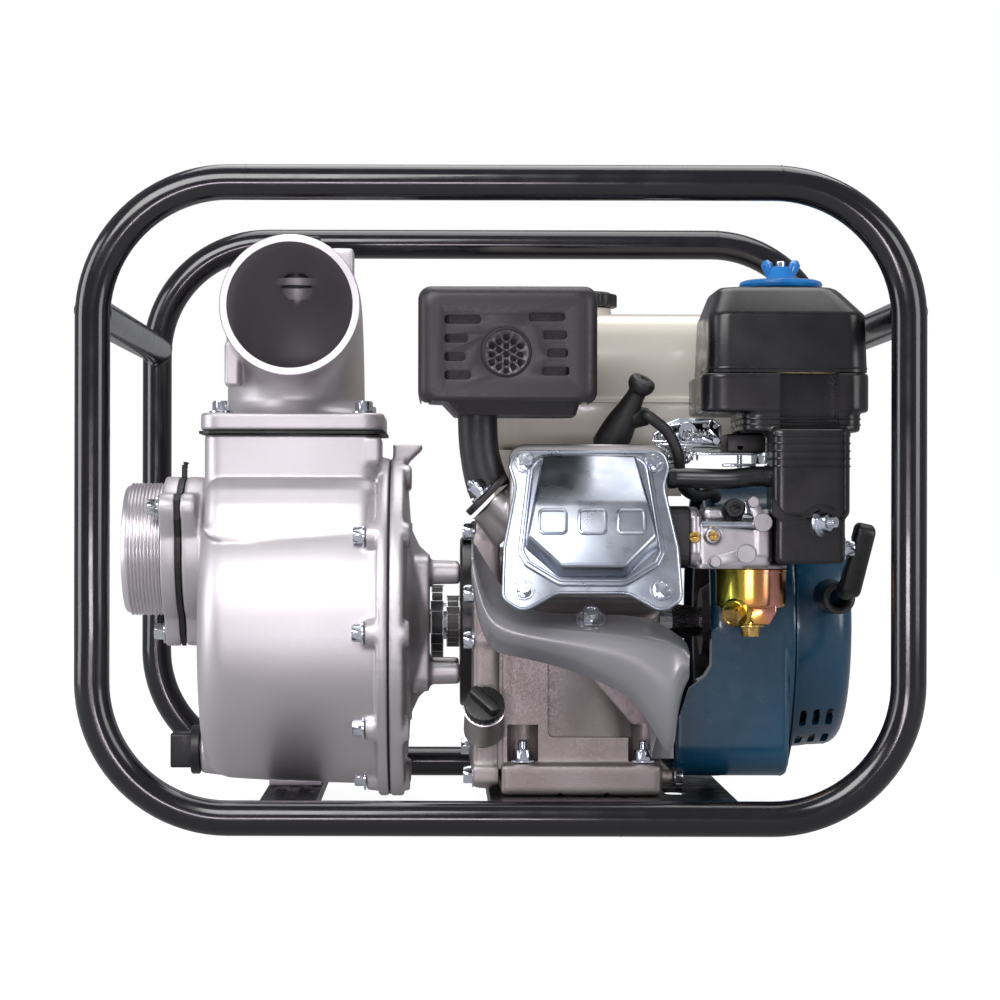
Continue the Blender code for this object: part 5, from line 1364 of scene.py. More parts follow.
# Exhaust
SHIELD_LOW = Vector((-0.049, -0.155, 0.2555))
SHIELD_HIGH = Vector((0.059, -0.062, 0.327))
OUTLET = Vector((0.004, -0.155, 0.2870))
SHIELD_SLOTS = (
    (-0.0332, -0.0112, 0.3065), (-0.0332, -0.0190, 0.2952), (-0.0332, -0.0204, 0.2842),
    (-0.0332, -0.0172, 0.2732),
    (0.0174, 0.0392, 0.3080), (0.0260, 0.0402, 0.2972), (0.0283, 0.0409, 0.2865), (0.0254, 0.0418, 0.2756),
)


def make_muffler():
    low, high = SHIELD_LOW, SHIELD_HIGH

    def ring_at(y, inset, radius, floor):
        corners = rectangle(low.x + inset, high.x - inset, floor, high.z - inset * 0.8)
        return [(x, y, z) for x, z in rounded(corners, radius, 8)]

    rings = [ring_at(high.y, 0.0, 0.008, low.z), ring_at(low.y + 0.0090, 0.0, 0.008, low.z)]
    for step in range(1, 7):
        turn = math.pi / 2 * step / 6
        y = low.y + 0.0090 - 0.0088 * math.sin(turn)
        rings.append(ring_at(y, 0.0086 * (1 - math.cos(turn)), 0.0080, low.z + 0.005 * (1 - math.cos(turn))))
    shell = skin("shield_shell", rings)
    inner = [ring_at(high.y + 0.01, 0.0016, 0.007, 0.235), ring_at(low.y + 0.0100, 0.0016, 0.007, 0.235)]
    inner.append(ring_at(low.y + 0.0018, 0.0090, 0.006, 0.235))
    cuts = [skin("shield_room", inner)]
    for left, right, z in SHIELD_SLOTS:
        slot = rounded(rectangle(left, right, z - 0.0027, z + 0.0027), 0.0020, 5)
        cuts.append(slab("slot", slot, "Y", low.y - 0.01, low.y + 0.012, 0))
    cuts.append(rod("outlet", OUTLET - Y_AXIS * 0.01, OUTLET + Y_AXIS * 0.012, 0.0152, steps=72, edge=0))
    carve(shell, cuts)
    bevel = shell.modifiers.new("Edges", "BEVEL")
    bevel.width = 0.0004
    bevel.segments = 2
    bevel.limit_method = "ANGLE"
    bevel.angle_limit = math.radians(50)
    applied(shell)
    shell.data.shade_smooth()
    shell.data.set_sharp_from_angle(angle=math.radians(45))
    show(shell, "muffler_black", "chassis", ["muffler_shield"])
    ring = [(-0.0010, 0.0136), (-0.0004, 0.0150), (0.0080, 0.0150), (0.0080, 0.0138)]
    collar = lathe("outlet_collar", ring, OUTLET, Y_AXIS, 72, closed=True)
    show(collar, "dark_inside", "chassis")
    screen = rod("spark_screen", OUTLET + Y_AXIS * 0.0055, OUTLET + Y_AXIS * 0.0070, 0.0140, steps=64)
    holes = []
    for across in range(-2, 3):
        for up in range(-2, 3):
            x = (across + up / 2) * 0.0050
            z = up * 0.0050 * math.sqrt(0.75)
            if math.hypot(x, z) < 0.0112:
                spot = OUTLET + Vector((z, 0, x - 0.0012))
                holes.append(rod("hole", spot, spot + Y_AXIS * 0.02, 0.0018, steps=20, edge=0))
    carve(screen, holes)
    show(screen, "steel_dark", "chassis")
    softened("muffler_body", 0.0030, 3)
    seam = rounded(rectangle(-0.0430, 0.0530, -0.1480, -0.0635), 0.013, 8)
    show(slab("muffler_seam", seam, "Z", 0.2585, 0.2600, 0.0005), "muffler_dark", "chassis")


def make_exhaust_pipe():
    path = smooth_path(
        [
            (-0.0125, -0.112, 0.2620), (-0.0125, -0.112, 0.2440), (-0.0112, -0.112, 0.2270),
            (-0.0080, -0.112, 0.2130), (-0.0045, -0.112, 0.2040)
        ],
        8
    )
    radii = [0.0121 + 0.0012 * max(0.0, (0.225 - point.z) / 0.02) for point in path]
    radii = [min(radius, 0.0135) for radius in radii]
    pipe = sweep("pipe_bend", path, 0.012, 48, radii=radii)
    direction = Vector((-1, 0, 1)).normalized()
    flange_place = frame_along((-0.0052, -0.1120, 0.2003), direction, Y_AXIS)
    flange = rounded(rectangle(-0.0215, 0.0215, -0.0165, 0.0165), 0.009)
    plate = prism("pipe_flange", flange, flange_place, 0.0, 0.0042, 0.0008)
    show(
        merged("exhaust_surface", [pipe, plate]), "muffler_dark", "chassis",
        ["exhaust_pipe"]
    )
    places = []
    for along in (-0.0155, 0.0155):
        spot = flange_place @ Vector((along, 0.0015, 0.0042))
        places.append(dict(place=spot, direction=direction, across_flats=0.0105, height=0.0070, stud=0.0035))
    bolts("exhaust_nuts", places)


# Fuel tank
FUEL_CAP = Vector((0.060, 0.060, 0))


def make_tank():
    low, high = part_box("fuel_tank")
    top = 0.3230

    def ring_at(z, inset, radius):
        corners = rectangle(low.x + inset, high.x - inset, low.y + inset, high.y - inset)
        return [(x, y, z) for x, y in rounded(corners, radius, 10)]

    levels = [
        (0.2322, 0.0150), (0.2330, 0.0100), (0.2360, 0.0050), (0.2420, 0.0022), (0.2625, 0.0018),
        (0.2630, 0.0000)
    ]
    levels += [
        (0.2655, 0.0000), (0.2662, 0.0012), (0.2668, 0.0030), (0.2685, 0.0030), (0.2700, 0.0016),
        (0.3060, 0.0010)
    ]
    for step in range(1, 9):
        turn = math.pi / 2 * step / 8
        levels.append((0.3060 + 0.0150 * math.sin(turn), 0.0010 + 0.0160 * (1 - math.cos(turn))))
    levels += [(top - 0.0010, 0.0240), (top, 0.0400)]
    body = skin("tank_shell", [ring_at(z, inset, max(0.008, 0.024 - inset * 0.2)) for z, inset in levels])
    cuts = [rod("opening", FUEL_CAP + Z_AXIS * 0.300, FUEL_CAP + Z_AXIS * 0.345, 0.0170, steps=48, edge=0)]
    carve(body, cuts)
    body.data.shade_smooth()
    body.data.set_sharp_from_angle(angle=math.radians(50))
    neck = [(0.3222, 0.0172), (0.3222, 0.0230), (0.3245, 0.0205), (0.3288, 0.0200), (0.3288, 0.0172)]
    collar = lathe("tank_neck", neck, FUEL_CAP, Z_AXIS, 64, closed=True)
    show(merged("fuel_tank_surface", [body, collar]), "cream_paint", "chassis", ["fuel_tank"])
    outline = []
    for step in range(144):
        turn = math.tau * step / 144
        reach = 0.0238 + 0.0005 * math.cos(24 * turn)
        outline.append((FUEL_CAP.x + reach * math.cos(turn), FUEL_CAP.y + reach * math.sin(turn)))
    cap = prism("cap_rim", outline, Matrix.Identity(4), 0.3296, 0.3385, 0.0012)
    crown = [(0.3380, 0), (0.3380, 0.0225), (0.3398, 0.0190), (0.3402, 0.0130), (0.3402, 0)]
    made = [cap, lathe("cap_crown", crown, FUEL_CAP, Z_AXIS, 64)]
    made.append(rod("cap_plug", FUEL_CAP + Z_AXIS * 0.3170, FUEL_CAP + Z_AXIS * 0.3300, 0.0163))
    show(merged("fuel_cap_surface", made), "black_plastic", "filler_cap", ["fuel_cap"])
    softened("tank_bracket", 0.0008)
    places = []
    for x, y in ((0.020, 0.135), (0.190, 0.135), (0.190, 0.010)):
        places.append(dict(place=(x, y, 0.2327), direction=-Z_AXIS, across_flats=0.010, height=0.006))
    bolts("tank_bolts", places)


# Air cleaner
STUD = Vector((0.177, -0.085, 0))


def make_air_cleaner():
    low = Vector((0.127, -0.135, 0.2763))
    high = Vector((0.225, -0.035, 0.330))

    def ring_at(z, share, drop):
        corners = rectangle(
            low.x + 0.0060 * share + drop, high.x - 0.0160 * share - drop, low.y + 0.0120 * share + drop,
            high.y - 0.0120 * share - drop
        )
        return [(x, y, z) for x, y in rounded(corners, 0.0125, 10)]

    levels = [(0.2764, 0.0, 0.0), (0.3105, 0.0, 0.0012), (0.3122, 0.02, 0.0014), (0.3138, 0.10, 0.0017)]
    levels += [(0.3260, 0.82, 0.0016), (0.3280, 0.94, 0.0020), (0.3292, 1.0, 0.0036), (0.3297, 1.0, 0.0075)]
    shell = skin("cleaner_shell", [ring_at(*level) for level in levels])
    room = [
        ring_at(z, share, drop + 0.0028)
        for z, share, drop in ((0.2700, 0.0, 0.0), (0.3100, 0.0, 0.001), (0.3262, 0.94, 0.001))
    ]
    cuts = [
        skin("cleaner_room", room),
        rod("stud_hole", STUD + Z_AXIS * 0.31, STUD + Z_AXIS * 0.34, 0.0040, edge=0)
    ]
    carve(shell, cuts)
    shell.data.shade_smooth()
    shell.data.set_sharp_from_angle(angle=math.radians(32))
    bead = rounded(rectangle(low.x + 0.0006, high.x - 0.0006, low.y + 0.0006, high.y - 0.0006), 0.0125, 10)
    path = [(x, y, 0.2790) for x, y in bead]
    made = [shell, sweep("cover_bead", path, 0.0010, 8, closed=True)]
    show(
        merged("cleaner_cover_surface", made), "cleaner_black", "cleaner_lid",
        ["air_cleaner_cover"]
    )


def make_cleaner_base():
    low_z, top_z = 0.2520, 0.2758
    lip = rounded(rectangle(0.1235, 0.2255, -0.1390, -0.0312), 0.014, 8)
    tray = rounded(rectangle(0.1480, 0.2200, -0.1380, -0.0600), 0.010, 8)
    elbow = rounded(rectangle(0.1645, 0.2115, -0.1498, -0.1120), 0.006, 8)
    collar = rounded(rectangle(0.1636, 0.2120, -0.1490, -0.1110), 0.006, 8)
    solids = [
        slab("lip", lip, "Z", low_z, top_z, 0.0014),
        slab("tray", tray, "Z", 0.2400, 0.2530, 0.0012),
        slab("elbow", elbow, "Z", 0.1880, 0.2420, 0.0030),
        slab(
            "flange_plate", rounded(rectangle(0.1676, 0.2090, 0.1602, 0.2000), 0.0030), "Y", -0.1440,
            -0.1130, 0.0014
        ),
        block("horn", (0.1675, -0.1420, 0.1600), (0.2000, -0.0915, 0.1925), 0.003),
    ]
    low_cut = [
        (0.1500, 0.2090), (0.1500, 0.1500), (0.1850, 0.1500), (0.1850, 0.1880), (0.1720, 0.1900),
        (0.1664, 0.1985)
    ]
    cuts = [slab("low_corner", low_cut, "Y", -0.1600, -0.1442, 0)]
    cuts.append(
        rod("nut_recess", (0.1935, -0.160, 0.1845), (0.1935, -0.1465, 0.1845), 0.0120, steps=48, edge=0)
    )
    cuts.append(rod("horn_bore", (0.150, -0.112, 0.176), (0.196, -0.112, 0.176), 0.0098, edge=0))
    cuts.append(block("duct", (0.1700, -0.1412, 0.1665), (0.2060, -0.1165, 0.2900), 0))
    body = blended("cleaner_base_surface", solids, 0.0011, 4, cuts)
    for level in range(5):
        z = 0.2190 + 0.0046 * level
        ring = [(x, y, z) for x, y in shrunk(elbow, 0.0001)]
        line = sweep("elbow_line", ring, 0.0007, 8, closed=True)
        body = merged("cleaner_base_surface", [coat(body, "cleaner_black"), coat(line, "cleaner_black")])
    for z in (0.2445, 0.2480):
        line = sweep("tray_line", [(x, y, z) for x, y in tray], 0.0006, 8, closed=True)
        body = merged("cleaner_base_surface", [body, coat(line, "cleaner_black")])
    neck = slab("elbow_collar", collar, "Z", 0.2375, 0.2405, 0.0008)
    stud = rod("cleaner_stud", STUD + Z_AXIS * 0.270, STUD + Z_AXIS * 0.3478, 0.0029)
    body = merged("cleaner_base_surface", [body, coat(neck, "cleaner_black"), coat(stud, "bright_zinc")])
    show(body, None, "chassis", ["air_cleaner_base"])
    places = [
        dict(
            place=(0.1925, -0.1465, 0.1848), direction=(0.75, -0.62, 0.05), across_flats=0.0105,
            height=0.0060, stud=0.0055
        ),
        dict(place=(0.2095, -0.1300, 0.1690), direction=X_AXIS, across_flats=0.0090, height=0.0055),
    ]
    bolts("elbow_nuts", places)


def make_wing_nut():
    profile = [
        (0.3303, 0.0034), (0.3303, 0.0235), (0.3312, 0.0252), (0.3330, 0.0259), (0.3348, 0.0252),
        (0.3358, 0.0225), (0.3352, 0.0150), (0.3358, 0.0105), (0.3375, 0.0090), (0.3430, 0.0072),
        (0.3444, 0.0062), (0.3444, 0.0034)
    ]
    made = [lathe("nut_disc", profile, STUD, Z_AXIS, 72, closed=True)]
    for side in (-1, 1):
        foot = STUD + Vector((side * 0.0060, 0, 0.3370))
        tip = STUD + Vector((side * 0.0088, 0, 0.3462))
        made.append(
            sweep(
                "wing",
                [
                    foot, foot.lerp(tip, 0.35), foot.lerp(tip, 0.75), tip,
                    tip + Vector((side * 0.0006, 0, 0.0024))
                ],
                0.003, 16, radii=[0.0022, 0.0026, 0.0034, 0.0036, 0.0016]
            )
        )
    show(merged("wing_nut_surface", made), "blue_plastic", "cleaner_nut", ["wing_nut"])


# Carburettor
BOWL = Vector((0.156, -0.110, 0))


def make_carburettor():
    flange = rounded(rectangle(-0.1335, -0.0865, 0.1575, 0.1945), 0.008)
    mouth = rounded(rectangle(-0.1298, -0.0902, 0.1592, 0.1928), 0.008)
    solids = [
        rod("throat_body", (0.1165, -0.110, 0.176), (0.1668, -0.110, 0.176), 0.0165, steps=48),
        slab("carb_flange", flange, "X", 0.1162, 0.1215, 0.001),
        slab("carb_mouth", mouth, "X", 0.1620, 0.1668, 0.001),
        rod("bowl_seat", BOWL + Z_AXIS * 0.1563, BOWL + Z_AXIS * 0.1597, 0.0218, steps=64),
        slab(
            "seat_ledge",
            rounded([(0.1200, -0.1330), (0.1500, -0.1330), (0.1500, -0.0900), (0.1200, -0.0900)], 0.003),
            "Z", 0.1566, 0.1597, 0.0006
        ),
        slab(
            "front_wall",
            rounded([(0.1225, 0.1580), (0.1660, 0.1580), (0.1600, 0.1800), (0.1220, 0.1850)], 0.003), "Y",
            -0.1335, -0.1150, 0.0012
        ),
        rod("pilot_boss", (0.1195, -0.1300, 0.1660), (0.1195, -0.1300, 0.1890), 0.0042),
        rod("screw_boss", (0.1300, -0.1100, 0.1768), (0.1300, -0.1352, 0.1768), 0.0048),
        block("dome_left", (0.1240, -0.1300, 0.1850), (0.1380, -0.1000, 0.1945), 0.004),
        block("rear_block", (0.1560, -0.1340, 0.1640), (0.1650, -0.1050, 0.1935), 0.0012),
        rod("post", (0.1545, -0.1230, 0.1850), (0.1545, -0.1230, 0.1985), 0.0017),
    ]
    cuts = [rod("throat", (0.10, -0.110, 0.176), (0.18, -0.110, 0.176), 0.0098, steps=48, edge=0)]
    body = blended("carburettor_surface", solids, 0.0008, 3, cuts)
    show(body, "carb_casting", "chassis", ["carburettor_body"])
    made = []
    for place, radius in (((0.1190, -0.1345, 0.1760), 0.0036), ((0.1302, -0.1360, 0.1768), 0.0032)):
        spot = Vector(place)
        head = rod("screw", spot, spot - Y_AXIS * 0.0022, radius, steps=32)
        slot = block(
            "slot", spot + Vector((-0.005, -0.0030, -0.0004)), spot + Vector((0.005, -0.0014, 0.0004)), 0
        )
        made.append(carve(head, [slot]))
    show(merged("carb_screws", made), "brass", "chassis")
    shaft = [rod("throttle_shaft", (0.1235, -0.1335, 0.1838), (0.1600, -0.1335, 0.1838), 0.0022, steps=24)]
    shaft.append(rod("shaft_collar", (0.1560, -0.1335, 0.1838), (0.1645, -0.1335, 0.1838), 0.0036, steps=24))
    shaft.append(block("arm", (0.1500, -0.1265, 0.1880), (0.1530, -0.1180, 0.1975), 0.0006))
    shaft.append(rod("idle_spring", (0.1480, -0.1290, 0.1885), (0.1560, -0.1290, 0.1885), 0.0021, steps=16))
    show(merged("throttle_shaft", shaft), "bright_zinc", "chassis")
    knob = [rod("stop_knob", (0.1436, -0.1180, 0.1940), (0.1436, -0.1330, 0.1940), 0.0056, steps=32)]
    hub = rod("stop_screw", (0.1436, -0.1325, 0.1940), (0.1436, -0.1342, 0.1940), 0.0034, steps=24)
    carve(hub, [block("slot", (0.1400, -0.136, 0.1935), (0.1470, -0.1336, 0.1945), 0)])
    show(merged("idle_stop", [*knob, hub]), "black_plastic", "chassis")
    softened("insulator", 0.0008)


def make_float_bowl():
    wall = [(0.1563, 0.0190), (0.1563, 0.0217), (0.1560, 0.0220), (0.1546, 0.0220), (0.1542, 0.0216)]
    wall += [(0.1400, 0.0215), (0.1355, 0.0213)]
    wall += [
        (0.1322 + 0.0030 * (1 - math.sin(t)), 0.0183 + 0.0030 * math.cos(t)) for t in (0.3, 0.7, 1.1, 1.57)
    ]
    wall += [
        (0.1328, 0.0120), (0.1310, 0.0105), (0.1310, 0.0047), (0.1340, 0.0047), (0.1345, 0.0165),
        (0.1380, 0.0190)
    ]
    bowl = lathe("bowl_shell", list(reversed(wall)), BOWL, Z_AXIS, 96, closed=True)
    pocket = slab(
        "bowl_sump",
        rounded(
            [
                (0.1560, 0.1350), (0.1700, 0.1350), (0.1700, 0.1300), (0.1655, 0.1225), (0.1560, 0.1225),
                (0.1520, 0.1280)
            ],
            0.002
        ),
        "Y", -0.1280, -0.1020, 0.0015
    )
    carve(pocket, [rod("bolt_room", BOWL + Z_AXIS * 0.11, BOWL + Z_AXIS * 0.16, 0.0076, edge=0)])
    lug_place = Vector((0.1445, -0.1265, 0.1295))
    lug_out = Vector((-0.55, -0.75, -0.36)).normalized()
    lug = rod("drain_lug", lug_place - lug_out * 0.0080, lug_place + lug_out * 0.0008, 0.0098, 0.0088, 40)
    show(
        merged("float_bowl_surface", [bowl, pocket, lug]), "yellow_zinc", "chassis",
        ["float_bowl"]
    )
    drain = hex_bolt(lug_place + lug_out * 0.0008, lug_out, 0.0112, washer=False, height=0.0065, mat="brass")
    show(merged("drain_screw", drain), None, "chassis")
    bottom = hex_bolt(BOWL + Vector((0, 0, 0.1222)), -Z_AXIS, 0.0104, height=0.0060, mat="brass")
    bottom.append(
        coat(rod("bowl_stud", BOWL + Z_AXIS * 0.1220, BOWL + Z_AXIS * 0.1515, 0.0040), "yellow_zinc")
    )
    show(merged("bowl_bolt", bottom), None, "chassis", ["bowl_drain"])


def make_lever(node, body, mat, pivot, towards, length, thick=0.0022, width=0.0042, tab=0.0065):
    """A rounded flat lever with a boss at its pivot and a turned-out tab at its end."""
    pivot, run = Vector(pivot), Vector(towards).normalized()
    place = Matrix.Translation(pivot) @ Matrix((run, run.cross(-Y_AXIS) * -1, -Y_AXIS)).transposed().to_4x4()
    arm = rounded(
        [
            (-0.004, -width), (length * 0.5, -width * 0.8), (length + 0.003, -width * 0.75),
            (length + 0.003, width * 0.75), (length * 0.5, width * 0.8), (-0.004, width)
        ],
        [0.003, 0.02, 0.0028, 0.0028, 0.02, 0.003], 5
    )
    end = pivot + run * length
    made = [
        prism("arm", arm, place, 0.0004, thick, 0.0004, 2),
        rod("boss", pivot, pivot - Y_AXIS * (thick + 0.0020), 0.0058, steps=32),
        rod(
            "tab", end - Y_AXIS * (thick - 0.0004), end - Y_AXIS * (thick + tab), width * 0.9, width * 0.8,
            24
        ),
    ]
    show(merged(node + "_surface", made), mat, body, [node])


# Hose, lead and spark plug
PLUG_FOOT = leaning(0.064, 0.044, 0.150)
PLUG_OUT = (Vector((0.091, -0.120, 0.276)) - PLUG_FOOT).normalized()
HOSE_ROUTE = (
    (0.1035, -0.126, 0.212), (0.112, -0.126, 0.212), (0.140, -0.131, 0.2115), (0.155, -0.131, 0.213),
    (0.1677, -0.131, 0.213)
)
LEAD_ROUTE = (
    (0.092, -0.118, 0.2500), (0.104, -0.1165, 0.2400), (0.1105, -0.1145, 0.2260), (0.1125, -0.108, 0.2130),
    (0.117, -0.094, 0.2050), (0.126, -0.074, 0.2015), (0.136, -0.056, 0.2030), (0.141, -0.0448, 0.2003)
)


def make_cords():
    path = smooth_path(HOSE_ROUTE, 8)
    hose = sweep("breather_hose_surface", path, 0.0061, 32)
    show(hose, "cleaner_black", "chassis", ["breather_hose"])
    clips = []
    for index, size in ((3, 0.0066), (len(path) - 4, 0.0067)):
        run = (path[index + 1] - path[index]).normalized()
        ring = [(-0.0016, 0.0060), (-0.0016, size), (0.0016, size), (0.0016, 0.0060)]
        clips.append(lathe("hose_clip", ring, path[index], run, 32, closed=True))
    show(merged("hose_clips", clips), "black_sheet", "chassis")
    start = PLUG_FOOT + PLUG_OUT * 0.034 + X_AXIS * 0.013
    path = smooth_path([start, *LEAD_ROUTE], 8)
    lead = sweep("ignition_lead_surface", path, 0.0035, 24)
    show(lead, "black_rubber", "chassis", ["ignition_lead"])


def make_plug_cap():
    profile = [
        (0.0104, 0.0050), (0.0104, 0.0100), (0.0125, 0.0110), (0.0160, 0.0108), (0.0240, 0.0102),
        (0.0310, 0.0092), (0.0400, 0.0072), (0.0480, 0.0058), (0.0520, 0.0056)
    ]
    profile += [
        (0.0535, 0.0068), (0.0560, 0.0082), (0.0590, 0.0084), (0.0610, 0.0074), (0.0618, 0.0052),
        (0.0618, 0.0026), (0.0606, 0.0022), (0.0606, 0.0)
    ]
    profile = [(0.0265, 0.0), (0.0265, 0.0050), *profile]
    cap = lathe("cap_body", profile, PLUG_FOOT, PLUG_OUT, 48)
    exit_place = PLUG_FOOT + PLUG_OUT * 0.034
    boot = rod("cap_boot", exit_place + X_AXIS * 0.0040, exit_place + X_AXIS * 0.0150, 0.0078, 0.0052, 32)
    show(
        merged("plug_cap_surface", [cap, boot]), "black_rubber", "chassis",
        ["spark_plug_cap"]
    )


# Speed control
def make_control():
    y = -0.0925
    plate = [
        (0.0965, 0.2340), (0.1395, 0.2340), (0.1395, 0.2450), (0.1340, 0.2495), (0.1130, 0.2495),
        (0.1040, 0.2460), (0.0965, 0.2400)
    ]
    front = slab("plate_front", rounded(plate, 0.002), "Y", y, y + 0.0018, 0.0004)
    cuts = [
        rod("hole", (x, y - 0.01, z), (x, y + 0.01, z), r, steps=24, edge=0)
        for x, z, r in ((0.1020, 0.2380, 0.0018), (0.1290, 0.2450, 0.0014), (0.1355, 0.2445, 0.0014))
    ]
    carve(front, cuts)
    foot = block("plate_foot", (0.0985, y + 0.0002, 0.2317), (0.1378, -0.0095, 0.2335), 0.0005)
    lug_low = slab(
        "plate_lug",
        rounded(
            [(0.1010, 0.2210), (0.1190, 0.2210), (0.1240, 0.2290), (0.1200, 0.2336), (0.0985, 0.2336)],
            0.004
        ),
        "Y", y, y + 0.0016, 0.0004
    )
    carve(
        lug_low,
        [rod("hole", (0.1110, y - 0.01, 0.2255), (0.1110, y + 0.01, 0.2255), 0.0022, steps=24, edge=0)]
    )
    bar = slab(
        "plate_bar", rounded(rectangle(0.1010, 0.1270, 0.2325, 0.2350), 0.001), "Y", y - 0.0001, y + 0.001,
        0.0001
    )
    show(
        merged("control_plate_surface", [front, foot, lug_low, bar]), "bright_zinc", "chassis",
        ["control_plate"]
    )
    screws = [
        dict(place=(0.1050, y, 0.2405), direction=-Y_AXIS, across_flats=0.0060, height=0.0035),
        dict(place=(0.1240, y, 0.2380), direction=-Y_AXIS, across_flats=0.0050, height=0.0030)
    ]
    bolts("control_screws", screws)
    rods = [block("link_bar", (0.1190, -0.1010, 0.2266), (0.1590, -0.0985, 0.2284), 0.0005)]
    rods.append(block("link_plate", (0.1395, -0.1010, 0.2196), (0.1600, -0.0950, 0.2214), 0.0005))
    rods.append(block("link_nut", (0.1480, -0.1010, 0.2292), (0.1525, -0.0965, 0.2330), 0.0006))
    rods.append(rod("link_stem", (0.1500, -0.0990, 0.2150), (0.1500, -0.0990, 0.2300), 0.0016))
    show(merged("governor_links", rods), "bright_zinc", "chassis")
    coil = []
    for turn_step in range(7 * 16 + 1):
        turn = math.tau * turn_step / 16
        along = 0.1150 + 0.0165 * turn_step / (7 * 16)
        coil.append(Vector((along, -0.1035 + 0.0026 * math.cos(turn), 0.2395 + 0.0026 * math.sin(turn))))
    low_coil = []
    for turn_step in range(8 * 16 + 1):
        turn = math.tau * turn_step / 16
        along = 0.1000 + 0.024 * turn_step / (8 * 16)
        low_coil.append(Vector((along, -0.104 + 0.003 * math.cos(turn), 0.2265 + 0.003 * math.sin(turn))))
    springs = [sweep("spring", low_coil, 0.00045, 8), sweep("spring", coil, 0.0004, 8)]
    show(merged("governor_spring_surface", springs), "steel", "chassis", ["governor_spring"])
    holder = block("cable_holder", (0.1420, -0.1010, 0.2280), (0.1660, -0.0600, 0.2398), 0.0012)
    show(holder, "black_plastic", "chassis")


# Blower housing and starter
FAN_SHOULDER = (
    (0.0950, 0.0415), (0.1108, 0.0415), (0.1142, 0.0613), (0.1209, 0.0809), (0.1313, 0.0882),
    (0.1349, 0.0950),
    (0.1349, 0.1400), (0.0950, 0.1400),
)


def make_fan_cover():
    left, step_x, right = 0.1115, 0.1350, 0.1898
    outer = [(step_x, 0.0), (step_x, 0.0965)]
    outer += [(x, r) for x, r in reversed(arc(step_x + 0.006, 0.0955, 0.006, 90, 170, 6))]
    outer += [(right - 0.0030, 0.1015), (right - 0.0008, 0.1004), (right, 0.0985), (right, 0.0)]
    drum = lathe("fan_drum", outer, CRANK, X_AXIS, 128)
    front, rear = CRANK.y - 0.1015, CRANK.y + 0.0895
    foot = rounded(
        [(front, 0.0243), (rear, 0.0243), (rear, 0.0880), (front, CRANK.z)], [0.020, 0.014, 0.006, 0.001], 8
    )
    low_box = slab("fan_foot", foot, "X", left, right - 0.0060, 0.0030, 3)
    solids = [drum, low_box]
    room = [
        (left + 0.002, 0), (left + 0.002, 0.078), (step_x + 0.002, 0.092), (step_x + 0.005, 0.0985),
        (right - 0.003, 0.0985), (right - 0.003, 0)
    ]
    inner_foot = rounded(
        [
            (front + 0.0035, 0.0270), (rear - 0.003, 0.0270), (rear - 0.003, 0.0850),
            (front + 0.0035, 0.0850)
        ],
        [0.017, 0.011, 0.003, 0.003], 6
    )
    cuts = [
        lathe("fan_room", room, CRANK, X_AXIS, 64),
        slab("foot_room", inner_foot, "X", 0.10, right - 0.0090, 0),
        rod(
            "fan_eye", (right - 0.01, CRANK.y, CRANK.z), (right + 0.01, CRANK.y, CRANK.z), 0.066, steps=64,
            edge=0
        ),
        rod("back_eye", (0.10, CRANK.y, CRANK.z), (step_x + 0.01, CRANK.y, CRANK.z), 0.060, steps=64, edge=0),
        slab("shoulder", FAN_SHOULDER, "Y", -0.2, 0.2, 0),
    ]
    body = blended("fan_cover_surface", solids, 0.0013, 4, cuts)
    show(body, "fan_blue", "chassis", ["fan_cover"])
    lip = [
        (right - 0.0012, 0.0990), (right - 0.0012, 0.1018), (right - 0.0002, 0.1019), (right, 0.1010),
        (right, 0.0990)
    ]
    show(lathe("fan_lip", lip, CRANK, X_AXIS, 128, closed=True), "fan_blue", "chassis")
    places = []
    for turn in (30, 150, 270):
        spin = math.radians(turn)
        spot = (right, CRANK.y + 0.0915 * math.cos(spin), CRANK.z + 0.0915 * math.sin(spin))
        places.append(dict(place=spot, direction=X_AXIS, across_flats=0.0085, height=0.0050))
    bolts("starter_bolts", places)
    softened("ignition_coil", 0.0006)


